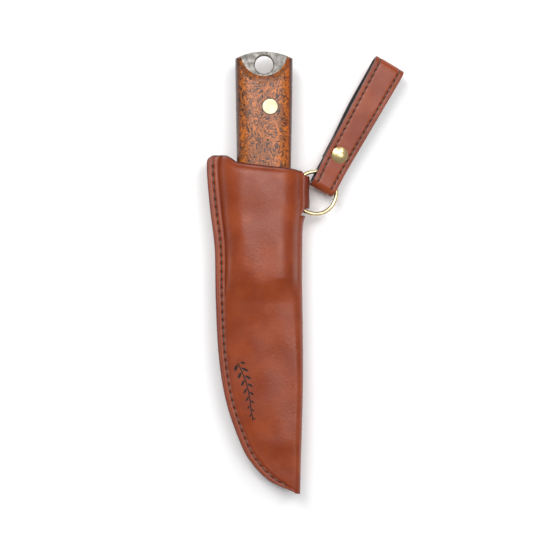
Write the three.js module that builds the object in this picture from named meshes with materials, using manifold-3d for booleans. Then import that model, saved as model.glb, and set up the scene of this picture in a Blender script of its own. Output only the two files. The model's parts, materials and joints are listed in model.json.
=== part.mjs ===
// Belt knife in a stitched leather sheath, with a ring and a snap-closed belt loop.
//
// Millimetres. +Y runs along the knife to its butt, +X to the sheath's folded side and +Z out
// of the front. The sheath lies on its flat back at Z = 0, and the origin is the middle of
// that flat, below the sheath's mouth on the knife's axis.

import * as THREE from 'three';
import { mergeVertices } from 'three/addons/utils/BufferGeometryUtils.js';
import Module from 'manifold-3d';

const wasm = await Module();
wasm.setup();

// Shared fits
const gap = 0.3; // between pieces that touch or turn on each other
const restBelowMouth = 25; // origin to the sheath's mouth

// Handle and tang
const handleLength = 128;
const handleShown = 64.4; // butt's crest above the mouth
const buttWidth = 32;
const waistWidth = 30.2; // at the mouth
const shoulderWidth = 27; // at the blade's end of the handle
const buttThickness = 19;
const handleThickness = 20.4;
const shoulderThickness = 17;
const buttArcRadius = 34.8;
const steelThickness = 4;
const edgeBreak = 0.03; // taken off the tang's corners on the seam's side
const buttOverrun = 2; // length left past the butt before its arc is cut

// Blade
const bladeLength = 108;
const bladeWidth = 31;
const spineDrop = 0.6; // spine inside the handle's side at the mouth
const cuttingEdge = 0.4; // thickness left at the edge
const grindShare = 0.42; // part of the width that keeps the full thickness
// The width as [share of the length from the shoulder, share of the full width].
const bladeShares = [
  [0, 1], [0.1, 1], [0.4, 0.948], [0.6, 0.835], [0.83, 0.545], [0.92, 0.35], [1, 0.03],
];

// Lanyard eye, scoop and pins
const eyeDiameter = 10.5;
const eyeInset = 7.3; // centre below the butt's crest
const scoopRadius = 13; // where the scoop meets the tang
const scoopBallRadius = 18;
const scoopInset = 0.7;
const pinDiameter = 8.5;
const pinSideways = 3.4;
const pinSink = 0.05; // pin's ends under the scales' crown
const buttPinInset = 31.6;
const shoulderPinInset = 32.6; // centre above the handle's blade end

// Sheath
const leather = 2.4;
const weltThickness = 2.2;
const seamWidth = 5.6;
const stitchInset = 3.3;
const knifeRoom = 0.4; // leather to scale at the crown
const edgeRoom = 4.8; // cutting edge to the welt
const mouthFlare = 4.8; // extra room on the seam's side at the mouth
const foldRoom = 6.9; // spine to the outside of the fold
const tipCover = 11.8; // leather beyond the blade's tip
const tipWidth = 4.2; // blunt end of the sheath
const mouthRise = 6.0; // seam corner above the mouth
const cornerWidth = 2.4; // rounding of the seam's top corner
const cornerDrop = 1.7;
const foldRimDrop = 2.8; // rim below the mouth where it meets the fold
const crownFlat = 0.4; // height pressed off the crown to make its flat
const coverSpread = 3.6; // leather beside the blade that still leans on it
const gripSpread = 4.2; // the same on the fold's side of the grip

// Ring
const ringWire = 2.3;
const ringRadius = 11.9; // middle of the wire, round the bow
const bowRoom = 3.85; // bow's centre beyond the leather round the bar
const ringBelowMouth = 14.3;
const barRoom = 6.3; // handle's side to the middle of the bar
const barClearance = 0.4;
const slotRoom = 1.2; // slot in the fold wider than the ring's arm
const tabRunOut = 7; // fold narrows over this length below the ring
const ringDroop = THREE.MathUtils.degToRad(12);

// Belt loop
const strapLength = 81.4;
const strapWidthAtRing = 13.4;
const strapWidthAtTop = 17.6;
const strapLeather = 1.6;
const lining = 0.7;
const foldOutsideRadius = 4.15; // ring end of the loop
const wireAlong = 9.9; // ring end of the loop to the wire
const neckAlong = 13.0; // ring end of the loop to where it bends
const topTurnRadius = 4.3;
const beltRoom = 6.6; // widest gap inside the loop
const returnLength = 14; // leather turned back up behind the neck
const bowCrossing = THREE.MathUtils.degToRad(54.2); // where the bow goes into the loop's fold
const crossingOutside = 0.346; // the slot's far end outside the middle of the wire there
const strapTurn = THREE.MathUtils.degToRad(-28.1);
const strapLift = THREE.MathUtils.degToRad(8.05);
const strapStitchInset = 1.7;
const stitchSlot = new THREE.Vector2(1.6, 4.4); // opening in the leather under a row's end

// Snap fastener
const snapAlong = 22.9;
const snapSideways = -0.2;
const snapCapRadius = 4.7;
const snapCapHeight = 1.5;
const snapRingRadius = 4.2;
const snapPostRadius = 1.6;
const studRadius = 1.9;

const threadRadius = 0.35;

// Worked-out places
const shoulderY = handleShown - handleLength;
const tipY = shoulderY - bladeLength;
const sheathTipY = tipY - tipCover;
const spineX = waistWidth / 2 - spineDrop;
const midZ = handleThickness / 2 + knifeRoom + leather;
const tangTop = steelThickness / 2;
const seamHalf = weltThickness / 2 + gap + leather;
const barNose = ringWire / 2 + barClearance + leather;
const ringOffset = barNose + bowRoom; // bow's centre from the middle of the straight bar
const barX = waistWidth / 2 + barRoom;
const barHalf = Math.sqrt(ringRadius ** 2 - ringOffset ** 2);

const steel = new THREE.MeshStandardMaterial({ color: 0x8f8f8c, roughness: 0.45, metalness: 0.9 });
const wood = new THREE.MeshStandardMaterial({ color: 0x8a4a1c, roughness: 0.35 });
const brass = new THREE.MeshStandardMaterial({ color: 0xcfae6a, roughness: 0.25, metalness: 1 });
const brownLeather = new THREE.MeshStandardMaterial({ color: 0x8a4128, roughness: 0.5 });
const blackLeather = new THREE.MeshStandardMaterial({ color: 0x16140f, roughness: 0.7 });
const thread = new THREE.MeshStandardMaterial({ color: 0x54443c, roughness: 0.9 });

const knife = new THREE.Group();
const sheath = new THREE.Group();
const ring = new THREE.Group();
const ringFold = new THREE.Group();
const beltLoop = new THREE.Group();
const beltFlap = new THREE.Group();

function addPiece(group, name, geometry, material) {
  const mesh = new THREE.Mesh(geometry, material);
  mesh.name = name;
  group.add(mesh);
}

// A smooth curve through [place, value] pairs in rising order of place, with no overshoot.
function profile(pairs) {
  const slopes = pairs.slice(1).map((p, k) => (p[1] - pairs[k][1]) / (p[0] - pairs[k][0]));
  const tangents = pairs.map((p, k) => {
    const before = slopes[k - 1];
    const after = slopes[k];
    if (before === undefined || after === undefined || before * after <= 0) return 0;
    return 2 * before * after / (before + after);
  });
  return (place) => {
    const x = THREE.MathUtils.clamp(place, pairs[0][0], pairs.at(-1)[0]);
    const k = Math.max(0, pairs.findIndex((p) => p[0] >= x) - 1);
    const step = pairs[k + 1][0] - pairs[k][0];
    const t = (x - pairs[k][0]) / step;
    const rise = t * t * (3 - 2 * t);
    return pairs[k][1] * (1 - rise) + pairs[k + 1][1] * rise
      + step * t * (1 - t) * ((1 - t) * tangents[k] - t * tangents[k + 1]);
  };
}

// A closed body from points and triangles, turned so that its faces point out.
function body(points, triangles) {
  const corner = (index) => points[index];
  let volume = 0;
  for (const [a, b, c] of triangles) {
    volume += corner(a).dot(corner(b).clone().cross(corner(c)));
  }
  const faces = volume < 0 ? triangles.map(([a, b, c]) => [a, c, b]) : triangles;
  const geometry = new THREE.BufferGeometry();
  geometry.setFromPoints(points);
  geometry.setIndex(faces.flat());
  return geometry;
}

const fanCap = (count) => Array.from({ length: count - 2 }, (_, k) => [0, k + 1, k + 2]);

// The end of a band whose ring runs out along one face and back along the other.
function bandCap(count) {
  const cap = [];
  for (let k = 0; k + 1 < count / 2; k += 1) {
    cap.push([k, k + 1, count - 2 - k], [k, count - 2 - k, count - 1 - k]);
  }
  return cap;
}

// A closed body through rings that all have the same number of points.
function loft(rings, cap = fanCap) {
  const count = rings[0].length;
  const last = (rings.length - 1) * count;
  const triangles = [];
  for (let start = 0; start < last; start += count) {
    for (let k = 0; k < count; k += 1) {
      const a = start + k;
      const b = start + (k + 1) % count;
      triangles.push([a, b, a + count], [b, b + count, a + count]);
    }
  }
  for (const [a, b, c] of cap(count)) {
    triangles.push([a, c, b], [last + a, last + b, last + c]);
  }
  return body(rings.flat(), triangles);
}

function toSolid(geometry) {
  const bare = geometry.clone();
  bare.deleteAttribute('normal');
  bare.deleteAttribute('uv');
  const merged = mergeVertices(bare, 1e-4);
  return new wasm.Manifold(new wasm.Mesh({
    numProp: 3,
    vertProperties: new Float32Array(merged.attributes.position.array),
    triVerts: new Uint32Array(merged.index.array),
  }));
}

function cut(geometry, cutters) {
  const solid = cutters.reduce((rest, cutter) => rest.subtract(toSolid(cutter)), toSolid(geometry));
  const mesh = solid.getMesh();
  const result = new THREE.BufferGeometry();
  result.setAttribute('position', new THREE.BufferAttribute(mesh.vertProperties, 3));
  result.setIndex(new THREE.BufferAttribute(mesh.triVerts, 1));
  return result;
}

// A round bar along Z between two heights.
function bar(radius, x, y, low, high, sides = 32) {
  const cylinder = new THREE.CylinderGeometry(radius, radius, high - low, sides);
  return cylinder.rotateX(Math.PI / 2).translate(x, y, (low + high) / 2);
}

function block(low, high) {
  const size = high.clone().sub(low);
  const middle = low.clone().add(high).multiplyScalar(0.5);
  return new THREE.BoxGeometry(size.x, size.y, size.z).translate(middle.x, middle.y, middle.z);
}

function cord(points, radius, closed, steps, sides = 6) {
  const curve = new THREE.CatmullRomCurve3(points, closed, 'centripetal');
  if (closed) return new THREE.TubeGeometry(curve, steps, radius, sides, true);
  const corners = Array.from({ length: sides }, (_, k) => 2 * Math.PI * k / sides);
  const section = new THREE.Shape(corners.map((turn) => (
    new THREE.Vector2(radius * Math.cos(turn), radius * Math.sin(turn)))));
  return new THREE.ExtrudeGeometry(section, { steps, extrudePath: curve, bevelEnabled: false });
}

// Knife

const handleHalfWidth = profile([
  [shoulderY, shoulderWidth / 2],
  [0, waistWidth / 2],
  [handleShown, buttWidth / 2],
]);

const handleHalfThickness = profile([
  [shoulderY, shoulderThickness / 2],
  [shoulderY / 4, handleThickness / 2],
  [handleShown / 3, handleThickness / 2],
  [handleShown, buttThickness / 2],
]);

const bladeShare = profile(bladeShares);
const bladeEdgeX = (y) => spineX - bladeWidth * bladeShare((shoulderY - y) / bladeLength);

function buttCutter() {
  const reach = buttWidth;
  const centre = handleShown - buttArcRadius;
  const cornerAngle = Math.acos(Math.min(1, 0.7 * buttWidth / buttArcRadius));
  const outline = new THREE.Shape();
  outline.absarc(0, centre, buttArcRadius, cornerAngle, Math.PI - cornerAngle);
  outline.lineTo(-reach, centre + buttArcRadius * Math.sin(cornerAngle));
  outline.lineTo(-reach, handleShown + reach);
  outline.lineTo(reach, handleShown + reach);
  outline.lineTo(reach, centre + buttArcRadius * Math.sin(cornerAngle));
  const height = 2 * handleThickness;
  const options = { depth: height, curveSegments: 20, bevelEnabled: false };
  const slab = new THREE.ExtrudeGeometry(outline, options);
  return slab.translate(0, 0, -height / 2);
}

const pins = [
  ['butt_pin', pinSideways, handleShown - buttPinInset],
  ['shoulder_pin', pinSideways, shoulderY + shoulderPinInset],
];

const pinHoles = pins.map(([, x, y]) => (
  bar(pinDiameter / 2 + gap, x, y, -handleThickness, handleThickness)));

// A section across the steel: full thickness from the spine to the grind, then down to the edge.
function bladeRing(y, spine, edge, grind, edgeHalf) {
  const corners = [
    [spine, tangTop], [spine, -tangTop], [grind, -tangTop],
    [edge, -edgeHalf], [edge, edgeHalf], [grind, tangTop],
  ];
  return corners.map(([x, z]) => new THREE.Vector3(x, y, z));
}

const bladeStations = [1, 0.98, 0.95, 0.9, 0.84, 0.77, 0.7, 0.6, 0.5, 0.4, 0.25, 0.1, 0.06];

function bladeAndTang() {
  const rings = [];
  for (const share of bladeStations) {
    const y = shoulderY - bladeLength * share;
    const edge = bladeEdgeX(y);
    const grind = THREE.MathUtils.lerp(spineX, edge, grindShare);
    rings.push(bladeRing(y, spineX, edge, grind, cuttingEdge / 2));
  }
  const tangSteps = 10;
  for (let k = 0; k <= tangSteps; k += 1) {
    const y = shoulderY + (handleLength + buttOverrun) * k / tangSteps;
    const side = handleHalfWidth(y);
    rings.push(bladeRing(y, side, -side, -0.8 * side, tangTop - edgeBreak));
  }
  const eye = bar(eyeDiameter / 2, 0, handleShown - eyeInset, -handleThickness, handleThickness, 40);
  return cut(loft(rings), [buttCutter(), eye, ...pinHoles]);
}

// The scale as [share of the handle from the blade, share of its full height].
const scaleStations = [
  [0, 0.8], [0.025, 0.98], [0.12, 1], [0.25, 1], [0.4, 1], [0.55, 1], [0.7, 1], [0.85, 1], [1, 1],
];

// One side of the handle: its section is a rounded box with a flat face toward the tang. Room
// is added all round it for the space that it needs.
function scale(side, room = 0) {
  const rings = [];
  const low = tangTop + gap;
  const steps = 12;
  for (const [share, fullness] of scaleStations) {
    const y = shoulderY + (handleLength + buttOverrun) * share;
    const halfWidth = handleHalfWidth(y) + room;
    const halfHeight = handleHalfThickness(y) * fullness + room;
    const start = Math.asin((low / halfHeight) ** 1.5);
    rings.push(Array.from({ length: steps + 1 }, (_, k) => {
      const angle = start + (Math.PI - 2 * start) * k / steps;
      const x = halfWidth * Math.sign(Math.cos(angle)) * Math.abs(Math.cos(angle)) ** (2 / 3);
      const z = k % steps === 0 ? low : halfHeight * Math.sin(angle) ** (2 / 3);
      return new THREE.Vector3(x, y, side * z);
    }));
  }
  const ballHeight = tangTop + Math.sqrt(scoopBallRadius ** 2 - scoopRadius ** 2);
  const ball = new THREE.SphereGeometry(scoopBallRadius, 36, 24);
  ball.rotateX(Math.PI / 2).translate(0, handleShown - scoopInset, side * ballHeight);
  return cut(loft(rings), [buttCutter(), ball, ...pinHoles]);
}

addPiece(knife, 'blade_and_tang', bladeAndTang(), steel);
addPiece(knife, 'front_scale', scale(1), wood);
addPiece(knife, 'back_scale', scale(-1), wood);
for (const [name, x, y] of pins) {
  const reach = handleHalfThickness(y) - pinSink;
  addPiece(knife, name, bar(pinDiameter / 2, x, y, -reach, reach), brass);
}
knife.position.z = midZ;

// Sheath

// The seam follows the cutting edge at a set distance, and flares toward the mouth.
const flareShare = profile([[0, 0], [0.3, 0.1], [0.65, 0.65], [1, 1]]);

function seamPoint(y) {
  const step = 0.5;
  const slope = (bladeEdgeX(y + step) - bladeEdgeX(y - step)) / (2 * step);
  const outward = new THREE.Vector2(-1, slope).normalize().multiplyScalar(seamWidth + edgeRoom);
  const flare = mouthFlare * flareShare(1 - y / shoulderY);
  return new THREE.Vector3(bladeEdgeX(y) + outward.x - flare, y + outward.y, 0);
}

const cornerX = seamPoint(0).x;
const foldOut = spineX + foldRoom;
const tipX = foldOut - 0.4 * tipWidth;
const seamStations = [0.1, 0.4, 0.6, 0.76, 0.87, 0.95].map((share) => (
  shoulderY - bladeLength * share));
const seamCurve = new THREE.CatmullRomCurve3([
  new THREE.Vector3(cornerX + cornerWidth, mouthRise, 0),
  new THREE.Vector3(cornerX + 0.2 * cornerWidth, mouthRise - cornerDrop, 0),
  seamPoint(0),
  seamPoint(shoulderY * 0.35),
  seamPoint(shoulderY * 0.7),
  ...seamStations.map(seamPoint),
  new THREE.Vector3(tipX - tipWidth, sheathTipY + 0.5 * tipWidth, 0),
], false, 'centripetal');

const ringTop = -ringBelowMouth + barHalf;
const ringFoot = -ringBelowMouth - barHalf;
const tabX = barX + barNose;
const foldCurve = new THREE.CatmullRomCurve3([
  new THREE.Vector3(tabX - barNose / 2.5, -foldRimDrop, 0),
  new THREE.Vector3(tabX, ringTop, 0),
  new THREE.Vector3(tabX, -ringBelowMouth, 0),
  new THREE.Vector3(tabX, ringFoot, 0),
  new THREE.Vector3(THREE.MathUtils.lerp(foldOut, tabX, 0.23), ringFoot - tabRunOut, 0),
  new THREE.Vector3(foldOut, shoulderY * 0.8, 0),
  new THREE.Vector3(foldOut, shoulderY - bladeLength * 0.5, 0),
  new THREE.Vector3(foldOut - 0.3 * tipWidth, tipY + 0.5 * tipCover, 0),
  new THREE.Vector3(tipX, sheathTipY + 0.15 * tipWidth, 0),
], false, 'centripetal');

const noseRadius = profile([
  [sheathTipY, seamHalf],
  [tipY, 4.4],
  [shoulderY - bladeLength * 0.5, 4.9],
  [shoulderY, 6.2],
  [ringFoot - tabRunOut - 1, 6],
  [ringFoot - 1, barNose],
]);

const bladeCover = tangTop + knifeRoom + leather + gap;
const coverHeight = profile([
  [sheathTipY, seamHalf],
  [tipY, bladeCover],
  [shoulderY - bladeLength * 0.45, bladeCover + 0.6],
  [shoulderY - bladeLength * 0.12, bladeCover + 3.4],
  [shoulderY, midZ - 0.6],
  [shoulderY + 10, midZ + crownFlat],
]);

// Height of the mouth's rim across the sheath.
const rimHeight = profile([
  [cornerX + 9.7, mouthRise],
  [cornerX + 13, mouthRise - 1.6],
  [-waistWidth / 2, 1.8],
  [0, -0.4],
  [waistWidth / 2, -1.9],
  [tabX, -foldRimDrop - 0.2],
]);

// Half thickness of the leather over the knife: a rounded box round the knife's own width.
function coverOver(x, y) {
  const inHandle = y > shoulderY;
  const left = (inHandle ? Math.min(-handleHalfWidth(y), bladeEdgeX(y)) : bladeEdgeX(y)) - coverSpread;
  const right = inHandle ? handleHalfWidth(y) + gripSpread : spineX + coverSpread;
  const across = Math.min(1, Math.abs(2 * x - left - right) / (right - left));
  return coverHeight(y) * (1 - across ** 2.6) ** (1 / 2.2);
}

// Points of one section, from the seam's edge to the fold, as distance across and half height.
function sheathSection(u) {
  const seam = seamCurve.getPointAt(u);
  const fold = foldCurve.getPointAt(u);
  const across = fold.clone().sub(seam);
  const width = across.length();
  across.normalize();
  const nose = Math.min(noseRadius(fold.y), width - 0.4);
  const flat = Math.min(seamWidth, 0.45 * (width - nose));
  const bodySteps = 9;
  const noseSteps = 5;
  const section = [[0, seamHalf], [flat / 2, seamHalf], [flat, seamHalf]];
  for (let k = 1; k <= bodySteps + noseSteps; k += 1) {
    const along = Math.min(1, k / bodySteps);
    const turn = Math.max(0, k - bodySteps) / noseSteps * Math.PI / 2;
    const distance = flat + (width - nose - flat) * along + nose * Math.sin(turn);
    const base = THREE.MathUtils.lerp(seamHalf, nose, THREE.MathUtils.smoothstep(along, 0, 1));
    const x = seam.x + across.x * distance;
    const y = seam.y + across.y * distance;
    const cover = coverOver(x, y) * Math.cos(turn);
    const height = ((base * Math.cos(turn)) ** 6 + cover ** 6) ** (1 / 6);
    section.push([distance, Math.min(midZ, height)]);
  }
  return { seam, across, section };
}

function inset(section, depth) {
  return section.map(([distance, height], k) => {
    if (k < 2) return [distance, height - depth];
    const before = section[k - 1];
    const after = section[k + 1] ?? [section[k - 1][0], -section[k - 1][1]];
    const run = new THREE.Vector2(after[0] - before[0], after[1] - before[1]).normalize();
    return [distance + run.y * depth, Math.max(height - run.x * depth, 0)];
  });
}

function place(u, { seam, across }, [distance, height]) {
  const x = seam.x + across.x * distance;
  const y = seam.y + across.y * distance;
  const top = seamCurve.getPointAt(0);
  const rightEnd = foldCurve.getPointAt(0);
  const lineHeight = THREE.MathUtils.mapLinear(x, top.x, rightEnd.x, top.y, rightEnd.y);
  const fade = Math.max(0, 1 - u / 0.16) ** 2;
  return new THREE.Vector3(x, y + (rimHeight(x) - lineHeight) * fade, height);
}

const mirrored = (points) => points.slice(0, -1).reverse().map(({ x, y, z }) => (
  new THREE.Vector3(x, y, -z)));

function sheathRing(u) {
  const frame = sheathSection(u);
  const outside = frame.section.map((point) => place(u, frame, point));
  const inside = inset(frame.section, leather).map((point) => place(u, frame, point));
  return [...outside, ...mirrored(outside), ...[...inside, ...mirrored(inside)].reverse()];
}

const sheathSteps = 30;
const sheathPlaces = Array.from({ length: sheathSteps + 1 }, (_, k) => k / sheathSteps);

// Slots let the ring's two arms out through the fold; the upper one opens into the rim.
function ringSlots() {
  const left = barX - ringWire / 4;
  const reach = tabX + barNose;
  const slotWidth = ringWire + 2 * barClearance + slotRoom;
  const cornerLap = ringWire / 2 + 2 * barClearance;
  const upper = [
    new THREE.Vector3(left, ringTop - cornerLap, -barNose * 2),
    new THREE.Vector3(reach, mouthRise, barNose * 2),
  ];
  const lower = [
    new THREE.Vector3(left, ringFoot - slotWidth, -barNose * 2),
    new THREE.Vector3(reach, ringFoot + cornerLap, barNose * 2),
  ];
  return [block(...upper), block(...lower)];
}

const stitchAt = (u, height) => {
  const frame = sheathSection(u);
  return place(u, frame, [stitchInset, height]);
};

// The thread's two ends, as shares of the seam, and the holes it goes through there.
const seamStart = 0.02;
const seamEnd = 0.93;
const holeLead = 0.84 / seamCurve.getLength();
const seamHoles = [seamStart, seamEnd].map((u) => {
  const { x, y } = stitchAt(u, 0);
  return bar(3.2 * threadRadius, x, y, -midZ, midZ, 10);
});

function seamThreadLoop(radius = threadRadius) {
  const height = seamHalf + gap + threadRadius;
  const front = [];
  for (let k = 0; k <= 14; k += 1) {
    const u = THREE.MathUtils.lerp(seamStart + holeLead, seamEnd - holeLead, k / 14);
    front.push(stitchAt(u, height));
  }
  const first = stitchAt(seamStart, 0);
  const last = stitchAt(seamEnd, 0);
  const turn = height - 1.5 * threadRadius;
  const down = [turn, 0, -turn].map((z) => last.clone().setZ(z));
  const up = [-turn, 0, turn].map((z) => first.clone().setZ(z));
  const back = front.map((point) => point.clone().setZ(-height)).reverse();
  return cord([...front, ...down, ...back, ...up], radius, true, 110);
}

function welt() {
  const rings = [];
  for (const u of sheathPlaces.filter((share) => share < 0.95)) {
    const frame = sheathSection(u);
    const edge = frame.section[2][0];
    const half = weltThickness / 2;
    const corners = [[0, half], [edge, half], [edge, -half], [0, -half]];
    rings.push(corners.map((corner) => place(u, frame, corner)));
  }
  return cut(loft(rings), seamHoles);
}

// Leather is pressed away wherever the handle, the wire or the thread would come too near.
function pressedSpace() {
  const wire = cord(ringWirePath(), ringWire / 2 + gap / 2, true, 64, 8);
  wire.rotateY(ringDroop).translate(barX, -ringBelowMouth, 0);
  return [scale(1, gap / 2), scale(-1, gap / 2), wire, seamThreadLoop(threadRadius + gap / 3)];
}

const sheathLeather = loft(sheathPlaces.map(sheathRing), bandCap);
const sheathCuts = [...ringSlots(), ...seamHoles, ...pressedSpace()];
addPiece(sheath, 'sheath_leather', cut(sheathLeather, sheathCuts), brownLeather);
addPiece(sheath, 'seam_welt', welt(), brownLeather);
addPiece(sheath, 'seam_thread', seamThreadLoop(), thread);
sheath.position.z = midZ;

// Ring

// A straight bar at X = 0 in the ring's own frame, closed by a round bow.
function ringWirePath() {
  const corner = 0.6 * ringWire; // rounding where the bar meets the bow
  const points = [[0, corner - barHalf], [0, 0], [0, barHalf - corner]];
  const reach = Math.acos((corner - ringOffset) / ringRadius);
  const steps = 16;
  for (let k = 0; k <= steps; k += 1) {
    const angle = reach * (1 - 2 * k / steps);
    points.push([ringOffset + ringRadius * Math.cos(angle), ringRadius * Math.sin(angle)]);
  }
  return points.map(([x, y]) => new THREE.Vector3(x, y, 0));
}

addPiece(ring, 'd_ring', cord(ringWirePath(), ringWire / 2, true, 64, 8), brass);
ring.position.set(barX, -ringBelowMouth, midZ);
ring.rotation.y = ringDroop;

// Belt loop

// In the loop's own frame Y runs from its ring end to its top, and Z out of its front.
const strapHalfWidth = (along) => (
  THREE.MathUtils.lerp(strapWidthAtRing, strapWidthAtTop, along / strapLength) / 2);

// A slab across the strap, from its outline as [along, height] pairs.
function strapSlab(outline, holes = []) {
  const flatPoints = (pairs) => pairs.map(([along, height]) => new THREE.Vector2(along, height));
  const shape = new THREE.Shape(flatPoints(outline));
  shape.holes = holes.map((hole) => new THREE.Path(flatPoints(hole)));
  const slab = new THREE.ExtrudeGeometry(shape, { depth: 1, bevelEnabled: false });
  const position = slab.attributes.position;
  for (let k = 0; k < position.count; k += 1) {
    const along = position.getX(k);
    const across = (position.getZ(k) * 2 - 1) * strapHalfWidth(along);
    position.setXYZ(k, across, along, position.getY(k));
  }
  slab.deleteAttribute('normal');
  slab.deleteAttribute('uv');
  return mergeVertices(slab, 1e-4);
}

// The outline of a layer that lies between two depths under an outer path.
function layer(path, upper, lower) {
  const offset = (depth) => path.map(([along, height], k) => {
    const before = path[Math.max(0, k - 1)];
    const after = path[Math.min(path.length - 1, k + 1)];
    const run = new THREE.Vector2(after[0] - before[0], after[1] - before[1]).normalize();
    return [along + run.y * depth, height - run.x * depth];
  });
  return [...offset(upper), ...offset(lower).reverse()];
}

function slotOutline(from, to, radius) {
  const steps = 8;
  const outline = [];
  for (let k = 0; k <= steps; k += 1) {
    const angle = Math.PI / 2 + Math.PI * k / steps;
    outline.push([from + radius * Math.cos(angle), radius * Math.sin(angle)]);
  }
  for (let k = 0; k <= steps; k += 1) {
    const angle = -Math.PI / 2 + Math.PI * k / steps;
    outline.push([to + radius * Math.cos(angle), radius * Math.sin(angle)]);
  }
  return outline;
}

const tunnel = foldOutsideRadius - strapLeather - gap - lining; // half height round the wire
const foldOutside = slotOutline(foldOutsideRadius, neckAlong, foldOutsideRadius);
const [foldSlot, liningOutside, liningSlot] = [tunnel + lining + gap, tunnel + lining, tunnel].map(
  (radius) => slotOutline(foldOutsideRadius, wireAlong, radius));
addPiece(ringFold, 'ring_fold_leather', strapSlab(foldOutside, [foldSlot]), brownLeather);
addPiece(ringFold, 'ring_fold_lining', strapSlab(liningOutside, [liningSlot]), blackLeather);
const crossingRadius = ringRadius + crossingOutside;
ringFold.position.set(
  ringOffset + crossingRadius * Math.cos(bowCrossing) + wireAlong * Math.sin(strapTurn),
  crossingRadius * Math.sin(bowCrossing) - wireAlong * Math.cos(strapTurn),
  0,
);
ringFold.rotation.z = strapTurn;

// Heights in the belt loop, all from the plane through the wire.
const frontFace = gap / 2 + lining + gap + strapLeather;
const liningDepth = strapLeather + gap;
const layerDepth = liningDepth + lining;
const neckEnd = neckAlong + foldOutsideRadius + gap;
const turnCentre = strapLength - topTurnRadius;
const turnFoot = frontFace - 2 * topTurnRadius;
const returnEnd = neckEnd + returnLength;
const flapInside = -frontFace - gap;
const flapEnd = neckEnd + gap;

const frontPath = [[neckEnd, frontFace], [turnCentre, frontFace]];
for (let k = 1; k <= 10; k += 1) {
  const angle = Math.PI / 2 - Math.PI * k / 10;
  frontPath.push([
    turnCentre + topTurnRadius * Math.cos(angle),
    frontFace - topTurnRadius + topTurnRadius * Math.sin(angle),
  ]);
}

const flapHeight = profile([
  [flapEnd, flapInside - layerDepth],
  [snapAlong + snapCapRadius, flapInside - layerDepth],
  [0.62 * strapLength, gap / 2 - beltRoom - layerDepth],
  [turnCentre, turnFoot],
]);
const flapPath = Array.from({ length: 15 }, (_, k) => {
  const along = THREE.MathUtils.lerp(turnCentre - gap, flapEnd, k / 14);
  return [along, flapHeight(along)];
});

const wholeLoop = 2 * beltRoom + layerDepth; // reaches past both sides of the loop
const snapHole = (radius) => bar(radius, snapSideways, snapAlong, -wholeLoop, wholeLoop, 20);
const postHole = snapHole(snapPostRadius + gap);
const ringHole = snapHole(snapRingRadius + gap);

// A row of stitches between two places on the loop, as [along, height] pairs.
const rowShares = [0, 0.02, 0.07, 0.18, 0.33, 0.47, 0.62, 0.75, 0.87, 0.94, 0.98, 1];
const stitchRow = (from, to, height) => rowShares.map((share) => {
  const along = THREE.MathUtils.lerp(from, to, share);
  return [along, height(along)];
});

// The row's thread on the outside of a layer, dipping into the leather at both ends.
function threadRun(row, side, outward) {
  const at = ([along, height], lift) => new THREE.Vector3(
    side * (strapHalfWidth(along) - strapStitchInset), along, height + outward * lift);
  const ends = (pair) => [-3 * gap, -gap / 1.5].map((lift) => at(pair, lift));
  const run = row.slice(1, -1).map((pair) => at(pair, gap + threadRadius));
  return cord([...ends(row[0]), ...run, ...ends(row.at(-1)).reverse()], threadRadius, false, 40);
}

function threadHoles(row, side) {
  return [row[0], row.at(-1)].map(([along]) => {
    const middle = new THREE.Vector3(side * (strapHalfWidth(along) - strapStitchInset), along, 0);
    const half = new THREE.Vector3(stitchSlot.x / 2, stitchSlot.y / 2, wholeLoop);
    return block(middle.clone().sub(half), middle.clone().add(half));
  });
}

const rowEnd = stitchSlot.y / 2 - 0.85; // row's end to the edge of its leather
const frontRow = stitchRow(neckEnd + rowEnd, turnCentre - 2.6, () => frontFace);
const backRow = stitchRow(turnCentre - 4.5, neckEnd + gap + 1.6 * rowEnd, flapHeight);

const frontHoles = [-1, 1].flatMap((side) => threadHoles(frontRow, side));
const backHoles = [-1, 1].flatMap((side) => threadHoles(backRow, side));
const returnBox = (high, low) => [
  [neckEnd, high], [neckEnd, low], [returnEnd, low], [returnEnd, high],
];

const frontLeather = strapSlab(layer(frontPath, 0, strapLeather));
const frontLining = strapSlab(layer(frontPath, liningDepth, layerDepth));
const returnLeather = strapSlab(returnBox(strapLeather - frontFace, -frontFace));
const returnLining = strapSlab(returnBox(-gap / 2, -gap / 2 - lining));
addPiece(beltLoop, 'strap_front', cut(frontLeather, [postHole, ...frontHoles]), brownLeather);
addPiece(beltLoop, 'strap_front_lining', cut(frontLining, [postHole]), blackLeather);
addPiece(beltLoop, 'strap_return', cut(returnLeather, [ringHole]), brownLeather);
addPiece(beltLoop, 'strap_return_lining', cut(returnLining, [postHole]), blackLeather);
for (const [name, side] of [['left', -1], ['right', 1]]) {
  addPiece(beltLoop, `strap_thread_${name}`, threadRun(frontRow, side, 1), thread);
}

// A turned piece round the snap's axis, from [radius, height] pairs.
function turned(outline) {
  const points = outline.map(([radius, height]) => new THREE.Vector2(radius, height));
  const lathe = new THREE.LatheGeometry(points, 24);
  return lathe.rotateX(Math.PI / 2).translate(snapSideways, snapAlong, 0);
}

// A domed head on a straight post, from the head's flat underside to the post's end.
function domedRivet(headRadius, headHeight, postRadius, underside, postEnd) {
  const up = Math.sign(underside - postEnd);
  const outline = [
    [0, postEnd],
    [postRadius, postEnd],
    [postRadius, underside],
    [headRadius, underside],
    [headRadius * 0.96, underside + up * headHeight * 0.35],
    [headRadius * 0.75, underside + up * headHeight * 0.75],
    [headRadius * 0.4, underside + up * headHeight * 0.95],
    [0, underside + up * headHeight],
  ];
  return turned(up > 0 ? outline : outline.reverse());
}

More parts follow.
